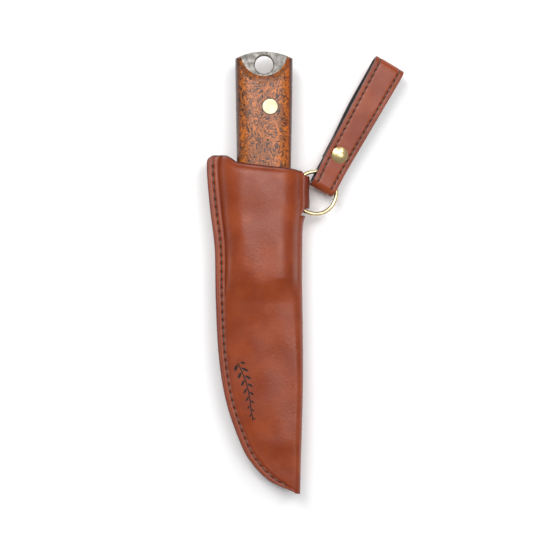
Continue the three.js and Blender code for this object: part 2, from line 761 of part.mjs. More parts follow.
const snapRingTop = strapLeather - frontFace - gap / 2;
const snapRingFoot = -frontFace + gap / 2;
const capUnderside = frontFace + gap;
const capEnd = snapRingTop + gap;
const snapCap = domedRivet(snapCapRadius, snapCapHeight, snapPostRadius, capUnderside, capEnd);
addPiece(beltLoop, 'snap_cap', snapCap, brass);
const socketRadius = studRadius + 2 * gap;
addPiece(beltLoop, 'snap_socket', turned([
  [socketRadius, snapRingFoot],
  [snapRingRadius, snapRingFoot],
  [snapRingRadius, snapRingTop],
  [socketRadius, snapRingTop],
  [socketRadius, snapRingFoot],
]), brass);

// The flap: the back of the loop, free to swing out from the foot of the top turn.
const flapLeather = strapSlab(layer(flapPath, 0, strapLeather));
const flapLining = strapSlab(layer(flapPath, liningDepth, layerDepth));
addPiece(beltFlap, 'flap_leather', cut(flapLeather, [postHole, ...backHoles]), brownLeather);
addPiece(beltFlap, 'flap_lining', cut(flapLining, [ringHole]), blackLeather);
for (const [name, side] of [['left', -1], ['right', 1]]) {
  addPiece(beltFlap, `flap_thread_${name}`, threadRun(backRow, side, -1), thread);
}
const studFoot = flapInside - lining - gap / 2;
addPiece(beltFlap, 'snap_stud', turned([
  [0, studFoot],
  [snapRingRadius, studFoot],
  [snapRingRadius, flapInside - gap / 2],
  [studRadius * 0.8, flapInside - gap / 2],
  [studRadius, flapInside + 0.6 * (snapRingTop - flapInside)],
  [studRadius * 0.7, snapRingTop - gap],
  [0, snapRingTop - gap],
]), brass);
const rivetHeight = 0.8 * snapCapHeight;
const rivetUnderside = flapInside - layerDepth - gap;
const rivetEnd = studFoot - gap;
const studRivet = domedRivet(snapCapRadius, rivetHeight, snapPostRadius, rivetUnderside, rivetEnd);
addPiece(beltFlap, 'stud_rivet', studRivet, brass);

const neck = new THREE.Group();
neck.position.y = neckAlong;
neck.rotation.x = strapLift;
beltLoop.position.y = -neckAlong;

const assembly = new THREE.Group();
const knifeInSheath = new THREE.Group();
knifeInSheath.position.y = restBelowMouth;
knifeInSheath.add(knife, sheath, ring);
ring.add(ringFold);
ringFold.add(neck);
neck.add(beltLoop);
beltLoop.add(beltFlap);
assembly.add(knifeInSheath);

export default assembly;
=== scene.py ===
import json
import math

import bmesh
import bpy
import numpy as np
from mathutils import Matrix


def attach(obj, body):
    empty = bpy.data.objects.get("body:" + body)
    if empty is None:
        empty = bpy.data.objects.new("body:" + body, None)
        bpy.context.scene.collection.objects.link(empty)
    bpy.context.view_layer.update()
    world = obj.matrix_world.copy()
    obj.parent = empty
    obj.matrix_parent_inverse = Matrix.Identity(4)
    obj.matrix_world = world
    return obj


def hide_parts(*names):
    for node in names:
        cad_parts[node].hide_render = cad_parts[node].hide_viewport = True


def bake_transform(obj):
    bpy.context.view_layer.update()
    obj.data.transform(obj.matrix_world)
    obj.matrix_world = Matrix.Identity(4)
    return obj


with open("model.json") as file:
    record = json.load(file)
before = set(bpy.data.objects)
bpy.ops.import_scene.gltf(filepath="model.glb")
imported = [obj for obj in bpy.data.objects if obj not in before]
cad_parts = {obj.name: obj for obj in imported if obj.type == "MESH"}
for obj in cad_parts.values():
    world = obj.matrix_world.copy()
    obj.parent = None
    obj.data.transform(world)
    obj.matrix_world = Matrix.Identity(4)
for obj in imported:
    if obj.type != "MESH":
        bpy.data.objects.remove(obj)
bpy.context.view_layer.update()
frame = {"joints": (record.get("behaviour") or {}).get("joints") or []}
mm = 0.001
joints = {joint["name"]: joint for joint in frame["joints"]}


def jointPlace(name):
    # the joint's point, from metres to mm
    return np.array(joints[name]["pos_m"], float) / mm


def jointAxis(name):
    # the joint's direction divided by its own length
    direction = np.array(joints[name]["axis"], float)
    return direction / np.linalg.norm(direction)


# ring bar's middle is the one place that every piece is measured from
layout = {
    "ringBelowMouth": 14.3,  # ring bar below the sheath's mouth, mm
    "barFromAxis": 21.4,     # ring bar beside the knife's axis, mm
}
barMiddle = jointPlace("ring_swing")
knifeOrigin = np.array([barMiddle[0] - layout["barFromAxis"],
                        barMiddle[1] + layout["ringBelowMouth"], barMiddle[2]])


# ---- shape helpers

def smoothstep(value, low, high):
    # 0 below low, 1 above high, and 3t^2 - 2t^3 between them
    t = np.clip((value - low) / (high - low), 0, 1)
    return t * t * (3 - 2 * t)


def lerp(a, b, t):
    # a at t = 0, b at t = 1, on a straight line between
    return a + (b - a) * t


def softMin(a, b, width):
    # the lower of two heights, with their crossing rounded over about width
    return -width * np.logaddexp(-a / width, -b / width)


def profile(pairs):
    # a curve through [place, value] pairs that never overshoots: Hermite spans whose
    # slope at a pair is the harmonic mean of its two neighbours' slopes
    xs, ys = np.array(sorted(pairs), float).T
    slopes = np.diff(ys) / np.diff(xs)
    tangents = np.zeros(len(xs))
    before, after = slopes[:-1], slopes[1:]
    turning = before * after > 0
    tangents[1:-1][turning] = (2 * before * after)[turning] / (before + after)[turning]

    def curve(places):
        # the cubic of the span that holds each place
        x = np.clip(places, xs[0], xs[-1])
        k = np.clip(np.searchsorted(xs, x) - 1, 0, len(xs) - 2)
        step = xs[k + 1] - xs[k]
        t = (x - xs[k]) / step
        rise = t * t * (3 - 2 * t)
        return (ys[k] * (1 - rise) + ys[k + 1] * rise
                + step * t * (1 - t) * ((1 - t) * tangents[k] - t * tangents[k + 1]))
    return curve


def smoothCurve(points, closed=False):
    # centripetal Catmull-Rom through the points, read back by share of its length
    p = np.array(points, float)
    if closed:
        p = np.vstack([p[-1:], p, p[:2]])
    else:
        p = np.vstack([2 * p[0] - p[1], p, 2 * p[-1] - p[-2]])
    spans = []
    t = np.linspace(0, 1, 90, endpoint=False)[:, None]
    for k in range(1, len(p) - 2):
        p0, p1, p2, p3 = p[k - 1:k + 3]
        d0, d1, d2 = (math.sqrt(np.linalg.norm(b - a)) for a, b in ((p0, p1), (p1, p2), (p2, p3)))
        m1 = ((p1 - p0) / d0 - (p2 - p0) / (d0 + d1) + (p2 - p1) / d1) * d1
        m2 = ((p2 - p1) / d1 - (p3 - p1) / (d1 + d2) + (p3 - p2) / d2) * d1
        spans.append(p1 * (2 * t**3 - 3 * t**2 + 1) + m1 * (t**3 - 2 * t**2 + t)
                     + p2 * (3 * t**2 - 2 * t**3) + m2 * (t**3 - t**2))
    fine = np.vstack(spans + [p[-2][None]])
    lengths = np.concatenate([[0], np.cumsum(np.linalg.norm(np.diff(fine, axis=0), axis=1))])

    def at(share):
        # the point at that share of the whole length
        place = np.asarray(share, float) * lengths[-1]
        return np.stack([np.interp(place, lengths, fine[:, axis])
                         for axis in range(fine.shape[1])], -1)
    return at, lengths[-1]


def gridFaces(rows, columns, first=0, closeRows=False, closeColumns=False):
    # quads over a rows x columns grid of points numbered row by row
    r = np.arange(rows if closeRows else rows - 1)[:, None]
    c = np.arange(columns if closeColumns else columns - 1)[None]
    r2, c2 = (r + 1) % rows, (c + 1) % columns
    quads = np.stack([r * columns + c, r * columns + c2, r2 * columns + c2, r2 * columns + c], -1)
    return quads.reshape(-1, 4) + first


def makePiece(name, points, faces, material, sharpAngle=40, marks=None):
    # points in mm become a mesh; doubles are merged and faces turned outwards
    mesh = bpy.data.meshes.new(name)
    lists = [f.tolist() if isinstance(f, np.ndarray) else f for f in faces]
    mesh.from_pydata((np.asarray(points, float).reshape(-1, 3) * mm).tolist(), [], sum(lists, []))
    for label, values in (marks or {}).items():
        mark = mesh.attributes.new(label, "FLOAT", "POINT")
        mark.data.foreach_set("value", np.asarray(values, np.float32).ravel())
    work = bmesh.new()
    work.from_mesh(mesh)
    bmesh.ops.remove_doubles(work, verts=work.verts, dist=2e-6)
    bmesh.ops.dissolve_degenerate(work, edges=work.edges, dist=1e-7)
    bmesh.ops.recalc_face_normals(work, faces=work.faces)
    work.to_mesh(mesh)
    work.free()
    mesh.materials.append(material)
    mesh.shade_smooth()
    mesh.set_sharp_from_angle(angle=math.radians(sharpAngle))
    piece = bpy.data.objects.new(name, mesh)
    bpy.context.scene.collection.objects.link(piece)
    return piece


def finishPiece(piece, body, slot, *nodes):
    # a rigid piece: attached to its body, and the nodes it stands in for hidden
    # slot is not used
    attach(piece, body)
    if nodes:
        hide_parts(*nodes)


# ---- material helpers

def node(tree, kind, settings=None, **inputs):
    # adds one node; an input is a plain value, or a socket to link from
    made = tree.nodes.new(kind)
    for key, value in (settings or {}).items():
        setattr(made, key, value)
    for key, value in inputs.items():
        socket = made.inputs[int(key[1:])] if key[0] == "_" else made.inputs[key.replace("_", " ")]
        if isinstance(value, bpy.types.NodeSocket):
            tree.links.new(value, socket)
        else:
            socket.default_value = value
    return made


def newMaterial(name):
    # a material, its tree and its shader
    material = bpy.data.materials.new(name)
    material.use_nodes = True
    tree = material.node_tree
    return material, tree, tree.nodes["Principled BSDF"]


def maths(tree, operation, a, b=0.0, clamp=False):
    # a and b put through one operation
    return node(tree, "ShaderNodeMath", {"operation": operation, "use_clamp": clamp},
                _0=a, _1=b).outputs[0]


def mixColour(tree, share, a, b, blend="MIX"):
    # a at share 0, b at share 1
    made = node(tree, "ShaderNodeMix", {"data_type": "RGBA", "blend_type": blend})
    for index, value in ((0, share), (6, a), (7, b)):
        if isinstance(value, bpy.types.NodeSocket):
            tree.links.new(value, made.inputs[index])
        else:
            made.inputs[index].default_value = value
    return made.outputs[2]


def ramp(tree, value, low, high, out=(0.0, 1.0)):
    # out[0] below low, out[1] above high, eased as smoothstep between
    return node(tree, "ShaderNodeMapRange", {"interpolation_type": "SMOOTHSTEP"}, Value=value,
                From_Min=low, From_Max=high, To_Min=out[0], To_Max=out[1]).outputs[0]


def noise(tree, place, scale, detail=3.0, roughness=0.5, distortion=0.0):
    # fractal noise, about one half on average
    return node(tree, "ShaderNodeTexNoise", Vector=place, Scale=scale, Detail=detail,
                Roughness=roughness, Distortion=distortion).outputs["Fac"]


def mark(tree, name):
    # a value stored on the mesh's points
    return node(tree, "ShaderNodeAttribute", {"attribute_name": name}).outputs["Fac"]


def colour(r, g, b):
    # a colour from its everyday 0-255 values
    def linear(v):
        v /= 255
        return v / 12.92 if v <= 0.04045 else ((v + 0.055) / 1.055) ** 2.4
    return (linear(r), linear(g), linear(b), 1.0)


# ---- finishes

# hole is the painted shade of the awl holes and also the sprig's ink; rim darkens burnished edges
# and the tooled line, and is the painted shade in the crease and beside the tab's fold
leatherLook = {
    "body": colour(131, 51, 15), "light": colour(146, 62, 22), "dark": colour(103, 34, 10),
    "rim": colour(74, 20, 12), "flesh": colour(112, 66, 42), "hole": colour(30, 12, 9),
    "roughness": 0.37, "shine": 0.47, "line": 0.34,
}


def brownLeather(name, pitch, inset, sprig=False):
    # waxed cowhide: soft blotches, fine grain, burnished edges, painted shade in the flange's crease
    # and beside the ring tab's fold, and awl holes in the stitch rows painted dark as their shade
    look = leatherLook
    material, tree, shader = newMaterial(name)
    place = node(tree, "ShaderNodeTexCoord").outputs["Object"]
    blotch = noise(tree, place, 55, 4, 0.6)
    cloud = noise(tree, place, 18, 2)
    tone = mixColour(tree, ramp(tree, blotch, 0.38, 0.66), look["body"], look["light"])
    tone = mixColour(tree, ramp(tree, cloud, 0.45, 0.8, (0, 0.3)), tone, look["dark"])
    # this mark holds burnished edges, and also painted shade in the flange's crease and beside the
    # ring tab's fold
    burnishAndShade = mark(tree, "burnishAndShade")
    tone = mixColour(tree, burnishAndShade, tone, look["rim"])
    tone = mixColour(tree, mark(tree, "flesh"), tone, look["flesh"])
    # one hole per stitch, painted dark as the shade inside it: an ellipse in stitch phase and
    # distance from the edge
    phase = maths(tree, "SUBTRACT", maths(tree, "FRACT", mark(tree, "stitchPhase")), 0.5)
    slant = maths(tree, "MULTIPLY", phase, 0.55)
    away = maths(tree, "SUBTRACT", maths(tree, "SUBTRACT", mark(tree, "edgeInset"), inset), slant)
    along = maths(tree, "POWER", maths(tree, "MULTIPLY", phase, pitch / 1.25), 2.0)
    across = maths(tree, "POWER", maths(tree, "DIVIDE", away, 0.5), 2.0)
    hole = ramp(tree, maths(tree, "ADD", along, across), 0.35, 1.0, (1, 0))
    hole = maths(tree, "MULTIPLY", hole, mark(tree, "stitched"))
    tone = mixColour(tree, hole, tone, look["hole"])
    # a bone-folder's line beside the edge
    fromLine = maths(tree, "ABSOLUTE", maths(tree, "SUBTRACT", mark(tree, "edgeInset"), 1.25))
    line = ramp(tree, fromLine, 0.1, 0.4, (look["line"], 0))
    tone = mixColour(tree, line, tone, look["rim"])
    height = maths(tree, "MULTIPLY", noise(tree, place, 1500, 2, 0.6), 0.00006)
    wrinkle = maths(tree, "MULTIPLY", noise(tree, place, 520, 3, 0.55), 0.00012)
    height = maths(tree, "ADD", height, wrinkle)
    grain = node(tree, "ShaderNodeTexVoronoi", Vector=place, Scale=1150.0).outputs["Distance"]
    height = maths(tree, "ADD", height, maths(tree, "MULTIPLY", grain, 0.00005))
    height = maths(tree, "SUBTRACT", height, maths(tree, "MULTIPLY", hole, 0.0004))
    height = maths(tree, "SUBTRACT", height, maths(tree, "MULTIPLY", line, 0.0003))
    if sprig:
        ink = sprigMask(tree, place)
        tone = mixColour(tree, ink, tone, look["hole"])
        height = maths(tree, "SUBTRACT", height, maths(tree, "MULTIPLY", ink, 0.00025))
    bump = node(tree, "ShaderNodeBump", Strength=0.55, Distance=1.0, Height=height)
    rough = ramp(tree, noise(tree, place, 90, 3), 0.3, 0.7,
                 (look["roughness"] - 0.06, look["roughness"] + 0.08))
    tree.links.new(tone, shader.inputs["Base Color"])
    tree.links.new(rough, shader.inputs["Roughness"])
    tree.links.new(bump.outputs[0], shader.inputs["Normal"])
    shader.inputs["Specular IOR Level"].default_value = look["shine"]
    return material


# a small twig tooled into the front: a bent stem with pairs of pointed leaves
sprig = {
    "start": (-14.6, -84.5), "turn": -73.0,  # foot of the stem, mm, and its direction, degrees
    "length": 33.0, "leafPitch": 4.6, "leafLength": 4.3, "leafWidth": 1.5, "stem": 0.4,
}


def sprigMask(tree, place):
    # p runs along the stem and q across it; a leaf is an ellipse leaning forwards from the stem
    look = sprig
    mapping = node(tree, "ShaderNodeMapping", {"vector_type": "TEXTURE"}, Vector=place)
    mapping.inputs["Location"].default_value = [v * mm for v in look["start"]] + [0]
    mapping.inputs["Rotation"].default_value = [0, 0, math.radians(look["turn"])]
    mapping.inputs["Scale"].default_value = [mm, mm, mm]
    split = node(tree, "ShaderNodeSeparateXYZ", Vector=mapping.outputs[0])
    p, q, z = split.outputs
    bend = maths(tree, "MULTIPLY", maths(tree, "SINE", maths(tree, "MULTIPLY", p, 0.13)), 1.3)
    q = maths(tree, "SUBTRACT", q, bend)
    side = maths(tree, "ABSOLUTE", q)
    taper = ramp(tree, p, 0.0, look["length"] * 1.25, (1.0, 0.35))
    step = look["leafPitch"]
    other = maths(tree, "MULTIPLY", maths(tree, "GREATER_THAN", q, 0.0), step / 2)
    run = maths(tree, "SUBTRACT", maths(tree, "FLOORED_MODULO", maths(tree, "ADD", p, other), step),
                step / 2)
    out = maths(tree, "SUBTRACT", side, maths(tree, "MULTIPLY", taper, look["leafLength"] * 0.5))
    lean = 0.7071
    u = maths(tree, "MULTIPLY", maths(tree, "ADD", run, out), lean)
    v = maths(tree, "MULTIPLY", maths(tree, "SUBTRACT", run, out), lean)
    longShare = maths(tree, "DIVIDE", u, maths(tree, "MULTIPLY", taper, look["leafLength"] / 2))
    wideShare = maths(tree, "DIVIDE", v, maths(tree, "MULTIPLY", taper, look["leafWidth"] / 2))
    spread = maths(tree, "ADD", maths(tree, "POWER", longShare, 2.0),
                   maths(tree, "POWER", maths(tree, "ABSOLUTE", wideShare), 1.5))
    leaf = ramp(tree, spread, 0.8, 1.15, (1, 0))
    stem = ramp(tree, side, look["stem"] * 0.6, look["stem"], (1, 0))
    both = maths(tree, "MAXIMUM", leaf, stem)
    span = maths(tree, "MULTIPLY", maths(tree, "GREATER_THAN", p, 0.0),
                 maths(tree, "LESS_THAN", p, look["length"]))
    front = maths(tree, "GREATER_THAN", z, float(barMiddle[2]))
    return maths(tree, "MULTIPLY", maths(tree, "MULTIPLY", both, span), front)


def blackLeather():
    # near-black lining, greyed where it wears
    material, tree, shader = newMaterial("black lining leather")
    place = node(tree, "ShaderNodeTexCoord").outputs["Object"]
    wear = ramp(tree, noise(tree, place, 240, 4, 0.65), 0.5, 0.85)
    tone = mixColour(tree, wear, colour(20, 19, 18), colour(52, 48, 44))
    height = maths(tree, "MULTIPLY", noise(tree, place, 1300, 3, 0.6), 0.0001)
    bump = node(tree, "ShaderNodeBump", Strength=0.5, Distance=1.0, Height=height)
    tree.links.new(tone, shader.inputs["Base Color"])
    tree.links.new(bump.outputs[0], shader.inputs["Normal"])
    shader.inputs["Roughness"].default_value = 0.62
    return material


# the edge colour is painted shade down the handle's sides, and the orange one is a painted highlight
# inside its right side
woodLook = {
    "amber": colour(200, 110, 34), "honey": colour(124, 68, 36), "smoke": colour(62, 42, 37),
    "deep": colour(30, 18, 14), "edge": colour(58, 28, 12), "paintedSideHighlight": colour(196, 88, 2),
    "curl": 430.0,  # how many curls to the metre
}


def burlWood(pins, halfWidth):
    # stained curly burl: warped cells of amber with smoky swirls and small dark eyes, painted shade
    # down its sides and a painted highlight inside the right side
    look = woodLook
    material, tree, shader = newMaterial("curly birch burl")
    place = node(tree, "ShaderNodeTexCoord").outputs["Object"]
    warpColour = node(tree, "ShaderNodeTexNoise", Vector=place, Scale=70.0, Detail=3.0)
    centred = node(tree, "ShaderNodeVectorMath", {"operation": "SUBTRACT"},
                   _0=warpColour.outputs["Color"], _1=(0.5, 0.5, 0.5))
    pushed = node(tree, "ShaderNodeVectorMath", {"operation": "SCALE"}, _0=centred.outputs[0],
                  Scale=0.016)
    warped = node(tree, "ShaderNodeVectorMath", {"operation": "ADD"}, _0=place,
                  _1=pushed.outputs[0]).outputs[0]
    stretched = node(tree, "ShaderNodeVectorMath", {"operation": "MULTIPLY"}, _0=warped,
                     _1=(1.25, 0.8, 0.6)).outputs[0]
    curls = noise(tree, stretched, look["curl"], 5, 0.62, 2.2)
    swirl = noise(tree, stretched, 105, 4, 0.55, 2.4)
    eyes = node(tree, "ShaderNodeTexVoronoi", {"feature": "SMOOTH_F1"}, Vector=warped,
                Scale=620.0, Randomness=1.0, Smoothness=0.4).outputs["Distance"]
    tone = mixColour(tree, ramp(tree, curls, 0.36, 0.62), look["honey"], look["amber"])
    smoke = maths(tree, "MAXIMUM", ramp(tree, swirl, 0.44, 0.6, (0, 0.55)),
                  ramp(tree, curls, 0.515, 0.44))
    tone = mixColour(tree, maths(tree, "MULTIPLY", smoke, 0.86), tone, look["smoke"])
    dark = maths(tree, "MULTIPLY", ramp(tree, eyes, 0.3, 0.12),
                 ramp(tree, noise(tree, place, 90, 2), 0.42, 0.55))
    dark = maths(tree, "MAXIMUM", dark, ramp(tree, curls, 0.44, 0.34, (0, 0.9)))
    fleck = noise(tree, warped, look["curl"] * 2.3, 3, 0.6, 1.2)
    dark = maths(tree, "MAXIMUM", dark, ramp(tree, fleck, 0.43, 0.35, (0, 0.8)))
    tone = mixColour(tree, dark, tone, look["deep"])
    # painted shade along the two sides of the handle, broader on the left, and a painted orange
    # highlight just inside the right side; stain gathers round the pins
    x, y, z = node(tree, "ShaderNodeSeparateXYZ", Vector=place).outputs
    left = ramp(tree, x, -(halfWidth - 0.9) * mm, -(halfWidth - 3.8) * mm, (0.9, 0))
    paintedSideHighlight = ramp(tree, x, (halfWidth - 4.4) * mm, (halfWidth - 2.8) * mm, (0, 0.4))
    right = ramp(tree, x, (halfWidth - 2.4) * mm, (halfWidth - 1.0) * mm, (0, 0.9))
    tone = mixColour(tree, maths(tree, "MULTIPLY", paintedSideHighlight, maths(tree, "SUBTRACT", 1.0, dark)),
                     tone, look["paintedSideHighlight"])
    tone = mixColour(tree, maths(tree, "MAXIMUM", left, right), tone, look["edge"])
    flat = node(tree, "ShaderNodeCombineXYZ", X=x, Y=y)
    for px, py, radius in pins:
        gone = node(tree, "ShaderNodeVectorMath", {"operation": "DISTANCE"}, _0=flat.outputs[0],
                    _1=(px * mm, py * mm, 0)).outputs["Value"]
        halo = ramp(tree, gone, (radius + 0.2) * mm, (radius + 0.8) * mm, (0.85, 0))
        tone = mixColour(tree, halo, tone, look["deep"])
    height = maths(tree, "MULTIPLY", curls, 0.00008)
    bump = node(tree, "ShaderNodeBump", Strength=0.25, Distance=1.0, Height=height)
    tree.links.new(tone, shader.inputs["Base Color"])
    tree.links.new(ramp(tree, curls, 0.3, 0.7, (0.42, 0.3)), shader.inputs["Roughness"])
    tree.links.new(bump.outputs[0], shader.inputs["Normal"])
    shader.inputs["Specular IOR Level"].default_value = 0.4
    shader.inputs["Coat Weight"].default_value = 0.06
    shader.inputs["Coat Roughness"].default_value = 0.2
    return material


def mattSteel():
    # stonewashed grey steel: mottled, with fine tumbling marks
    material, tree, shader = newMaterial("stonewashed steel")
    place = node(tree, "ShaderNodeTexCoord").outputs["Object"]
    mottle = noise(tree, place, 330, 5, 0.7)
    broad = noise(tree, place, 60, 3)
    tone = mixColour(tree, ramp(tree, mottle, 0.35, 0.68), colour(92, 90, 86),
                     colour(138, 134, 128))
    tone = mixColour(tree, ramp(tree, broad, 0.4, 0.75, (0, 0.35)), tone, colour(96, 93, 90))
    height = maths(tree, "MULTIPLY", noise(tree, place, 2200, 3, 0.7), 0.00005)
    bump = node(tree, "ShaderNodeBump", Strength=0.4, Distance=1.0, Height=height)
    tree.links.new(tone, shader.inputs["Base Color"])
    tree.links.new(ramp(tree, mottle, 0.3, 0.7, (0.5, 0.36)), shader.inputs["Roughness"])
    tree.links.new(bump.outputs[0], shader.inputs["Normal"])
    shader.inputs["Metallic"].default_value = 0.85
    return material


def brass(name, tint, roughness):
    # polished brass with a little handling haze
    material, tree, shader = newMaterial(name)
    place = node(tree, "ShaderNodeTexCoord").outputs["Object"]
    haze = noise(tree, place, 260, 4, 0.6)
    tone = mixColour(tree, ramp(tree, haze, 0.4, 0.8, (0, 0.35)), tint,
                     (tint[0] * 0.72, tint[1] * 0.62, tint[2] * 0.5, 1))
    rough = ramp(tree, haze, 0.3, 0.75, (roughness, roughness + 0.12))
    height = maths(tree, "MULTIPLY", noise(tree, place, 1900, 2), 0.00001)
    bump = node(tree, "ShaderNodeBump", Strength=0.3, Distance=1.0, Height=height)
    tree.links.new(tone, shader.inputs["Base Color"])
    tree.links.new(rough, shader.inputs["Roughness"])
    tree.links.new(bump.outputs[0], shader.inputs["Normal"])
    shader.inputs["Metallic"].default_value = 1.0
    return material


def waxedThread():
    # waxed thread in two browns
    material, tree, shader = newMaterial("waxed thread")
    place = node(tree, "ShaderNodeTexCoord").outputs["Object"]
    tone = mixColour(tree, ramp(tree, noise(tree, place, 900, 3), 0.35, 0.7),
                     colour(78, 56, 46), colour(122, 96, 80))
    height = maths(tree, "MULTIPLY", noise(tree, place, 3000, 2), 0.0001)
    bump = node(tree, "ShaderNodeBump", Strength=0.6, Distance=1.0, Height=height)
    tree.links.new(tone, shader.inputs["Base Color"])
    tree.links.new(bump.outputs[0], shader.inputs["Normal"])
    shader.inputs["Roughness"].default_value = 0.7
    return material


# ---- knife

knife = {
    "handleLength": 128.0, "handleShown": 64.4, "buttArc": 34.8, "shoulderCap": 3.2,
    "steel": 4.0, "bladeLength": 108.0, "bladeWidth": 31.0, "spineDrop": 0.6, "edge": 0.3,
    "grind": 0.42, "eye": 10.5, "eyeInset": 7.3, "eyeChamfer": 0.45, "corner": 0.16,
    "scoopRadius": 13.0, "scoopBall": 18.0, "scoopInset": 0.7, "woodInset": 0.45,
    "pinRadius": 4.25, "pinX": 3.4, "buttPinInset": 31.6, "shoulderPinInset": 32.6,
}
shoulderY = knife["handleShown"] - knife["handleLength"]
tipY = shoulderY - knife["bladeLength"]
spineX = 15.1 - knife["spineDrop"]
steelHalf = knife["steel"] / 2
buttCentreY = knife["handleShown"] - knife["buttArc"]
pinSpots = [(knife["pinX"], knife["handleShown"] - knife["buttPinInset"]),
            (knife["pinX"], shoulderY + knife["shoulderPinInset"])]
handleHalfWidth = profile([[shoulderY, 13.5], [0, 15.1], [knife["handleShown"], 16]])
handleHalfThickness = profile([[shoulderY, 8.5], [shoulderY / 4, 10.2],
                               [knife["handleShown"] / 3, 10.2], [knife["handleShown"], 9.5]])
bladeShare = profile([[0, 1], [0.1, 1], [0.4, 0.948], [0.6, 0.835], [0.83, 0.545],
                      [0.92, 0.35], [1, 0.03]])


def bladeEdgeX(y):
    # the spine less the blade's width at that share of its length
    return spineX - knife["bladeWidth"] * bladeShare((shoulderY - y) / knife["bladeLength"])


def buttY(x):
    # the butt's circle: its centre plus sqrt(r^2 - x^2)
    return buttCentreY + np.sqrt(knife["buttArc"] ** 2 - x**2)


def woodTop(x, y):
    # crown of a scale above the knife's middle plane: |x/w|^3 + |z/h|^3 = 1
    share = np.clip(np.abs(x) / handleHalfWidth(y), 0, 1)
    return handleHalfThickness(y) * (1 - share**3) ** (1 / 3)


def makeBlade():
    # front half: rows across blade and tang, then a fan from the lanyard eye to the butt's
    # outline; the back half is its mirror image
    f = np.array([0, 0, 0.005, 0.06, 0.14, 0.22, 0.31, 0.42, 0.5, 0.58, 0.66, 0.74, 0.82, 0.9,
                  0.96, 0.995, 1, 1])
    lift = np.ones(len(f))
    lift[[0, -1]] = 0
    lift[[1, -2]] = 1 - knife["corner"] / steelHalf
    shares = np.concatenate([[1.0008], 1 - np.linspace(0, 1, 60)[:-1] ** 1.25 * 0.94, [0.06]])
    rows = []
    for share in shares:
        y = shoulderY - knife["bladeLength"] * share
        edgeX = bladeEdgeX(y)
        x = lerp(spineX, edgeX, f) if share <= 1 else np.full(len(f), lerp(spineX, edgeX, 0.5))
        fall = np.clip((f - knife["grind"]) / (1 - knife["grind"]), 0, 1)
        z = lerp(steelHalf, knife["edge"] / 2, fall) * lift * (share <= 1)
        rows.append(np.stack([x, np.full(len(f), y), z], -1))
    joinY = knife["handleShown"] - knife["eyeInset"] - 13.5
    for y in np.linspace(shoulderY, joinY, 36):
        half = handleHalfWidth(y)
        rows.append(np.stack([lerp(half, -half, f), np.full(len(f), y), steelHalf * lift], -1))
    rows = np.array(rows)
    eyeY = knife["handleShown"] - knife["eyeInset"]
    c = knife["corner"]
    sideY = np.linspace(joinY, buttY(16.0), 12)[1:-1]
    arcTurn = math.asin(handleHalfWidth(60.0) / knife["buttArc"])
    arc = np.linspace(arcTurn, -arcTurn, 40)
    bottom = rows[-1][2:-2, :2]                     # right to left along the join
    outer = np.concatenate([
        bottom[::-1],
        [[handleHalfWidth(joinY), joinY]],
        np.stack([handleHalfWidth(sideY), sideY], -1),
        np.stack([knife["buttArc"] * np.sin(arc),
                  buttCentreY + knife["buttArc"] * np.cos(arc)], -1),
        np.stack([-handleHalfWidth(sideY[::-1]), sideY[::-1]], -1),
        [[-handleHalfWidth(joinY), joinY]],
    ])
    inset = np.concatenate([
        bottom[::-1],
        [bottom[0]],
        np.stack([handleHalfWidth(sideY) - c, sideY], -1),
        np.stack([(knife["buttArc"] - c) * np.sin(arc),
                  buttCentreY + (knife["buttArc"] - c) * np.cos(arc)], -1),
        np.stack([c - handleHalfWidth(sideY[::-1]), sideY[::-1]], -1),
        [bottom[-1]],
    ])
    atJoin = np.zeros(len(outer), bool)
    atJoin[:len(bottom)] = True
    turn = np.arctan2(inset[:, 1] - eyeY, inset[:, 0])
    radius = knife["eye"] / 2
    circle = np.stack([np.cos(turn), np.sin(turn)], -1)
    eyeCentre = np.array([0, eyeY])
    fan = [(eyeCentre + circle * radius, 0.0), (eyeCentre + circle * radius, steelHalf - 0.35),
           (eyeCentre + circle * (radius + knife["eyeChamfer"]), steelHalf)]
    for share in (0.15, 0.4, 0.7, 1.0):
        fan.append((lerp(eyeCentre + circle * (radius + knife["eyeChamfer"]), inset, share),
                    steelHalf))
    fan.append((outer, np.where(atJoin, steelHalf, steelHalf - c)))
    fan.append((outer, np.where(atJoin, steelHalf, 0.0)))
    fan = np.array([np.column_stack([xy, np.broadcast_to(z, len(xy))]) for xy, z in fan])
    points, faces, count = [], [], 0
    for mirror in (1, -1):
        for grid, closed in ((rows, False), (fan, True)):
            points.append((grid * [1, 1, mirror]).reshape(-1, 3))
            faces.append(gridFaces(*grid.shape[:2], first=count, closeColumns=closed))
            count += grid.shape[0] * grid.shape[1]
    return makePiece("bladeAndTang", np.concatenate(points) + knifeOrigin, faces, mattSteel(), 28)


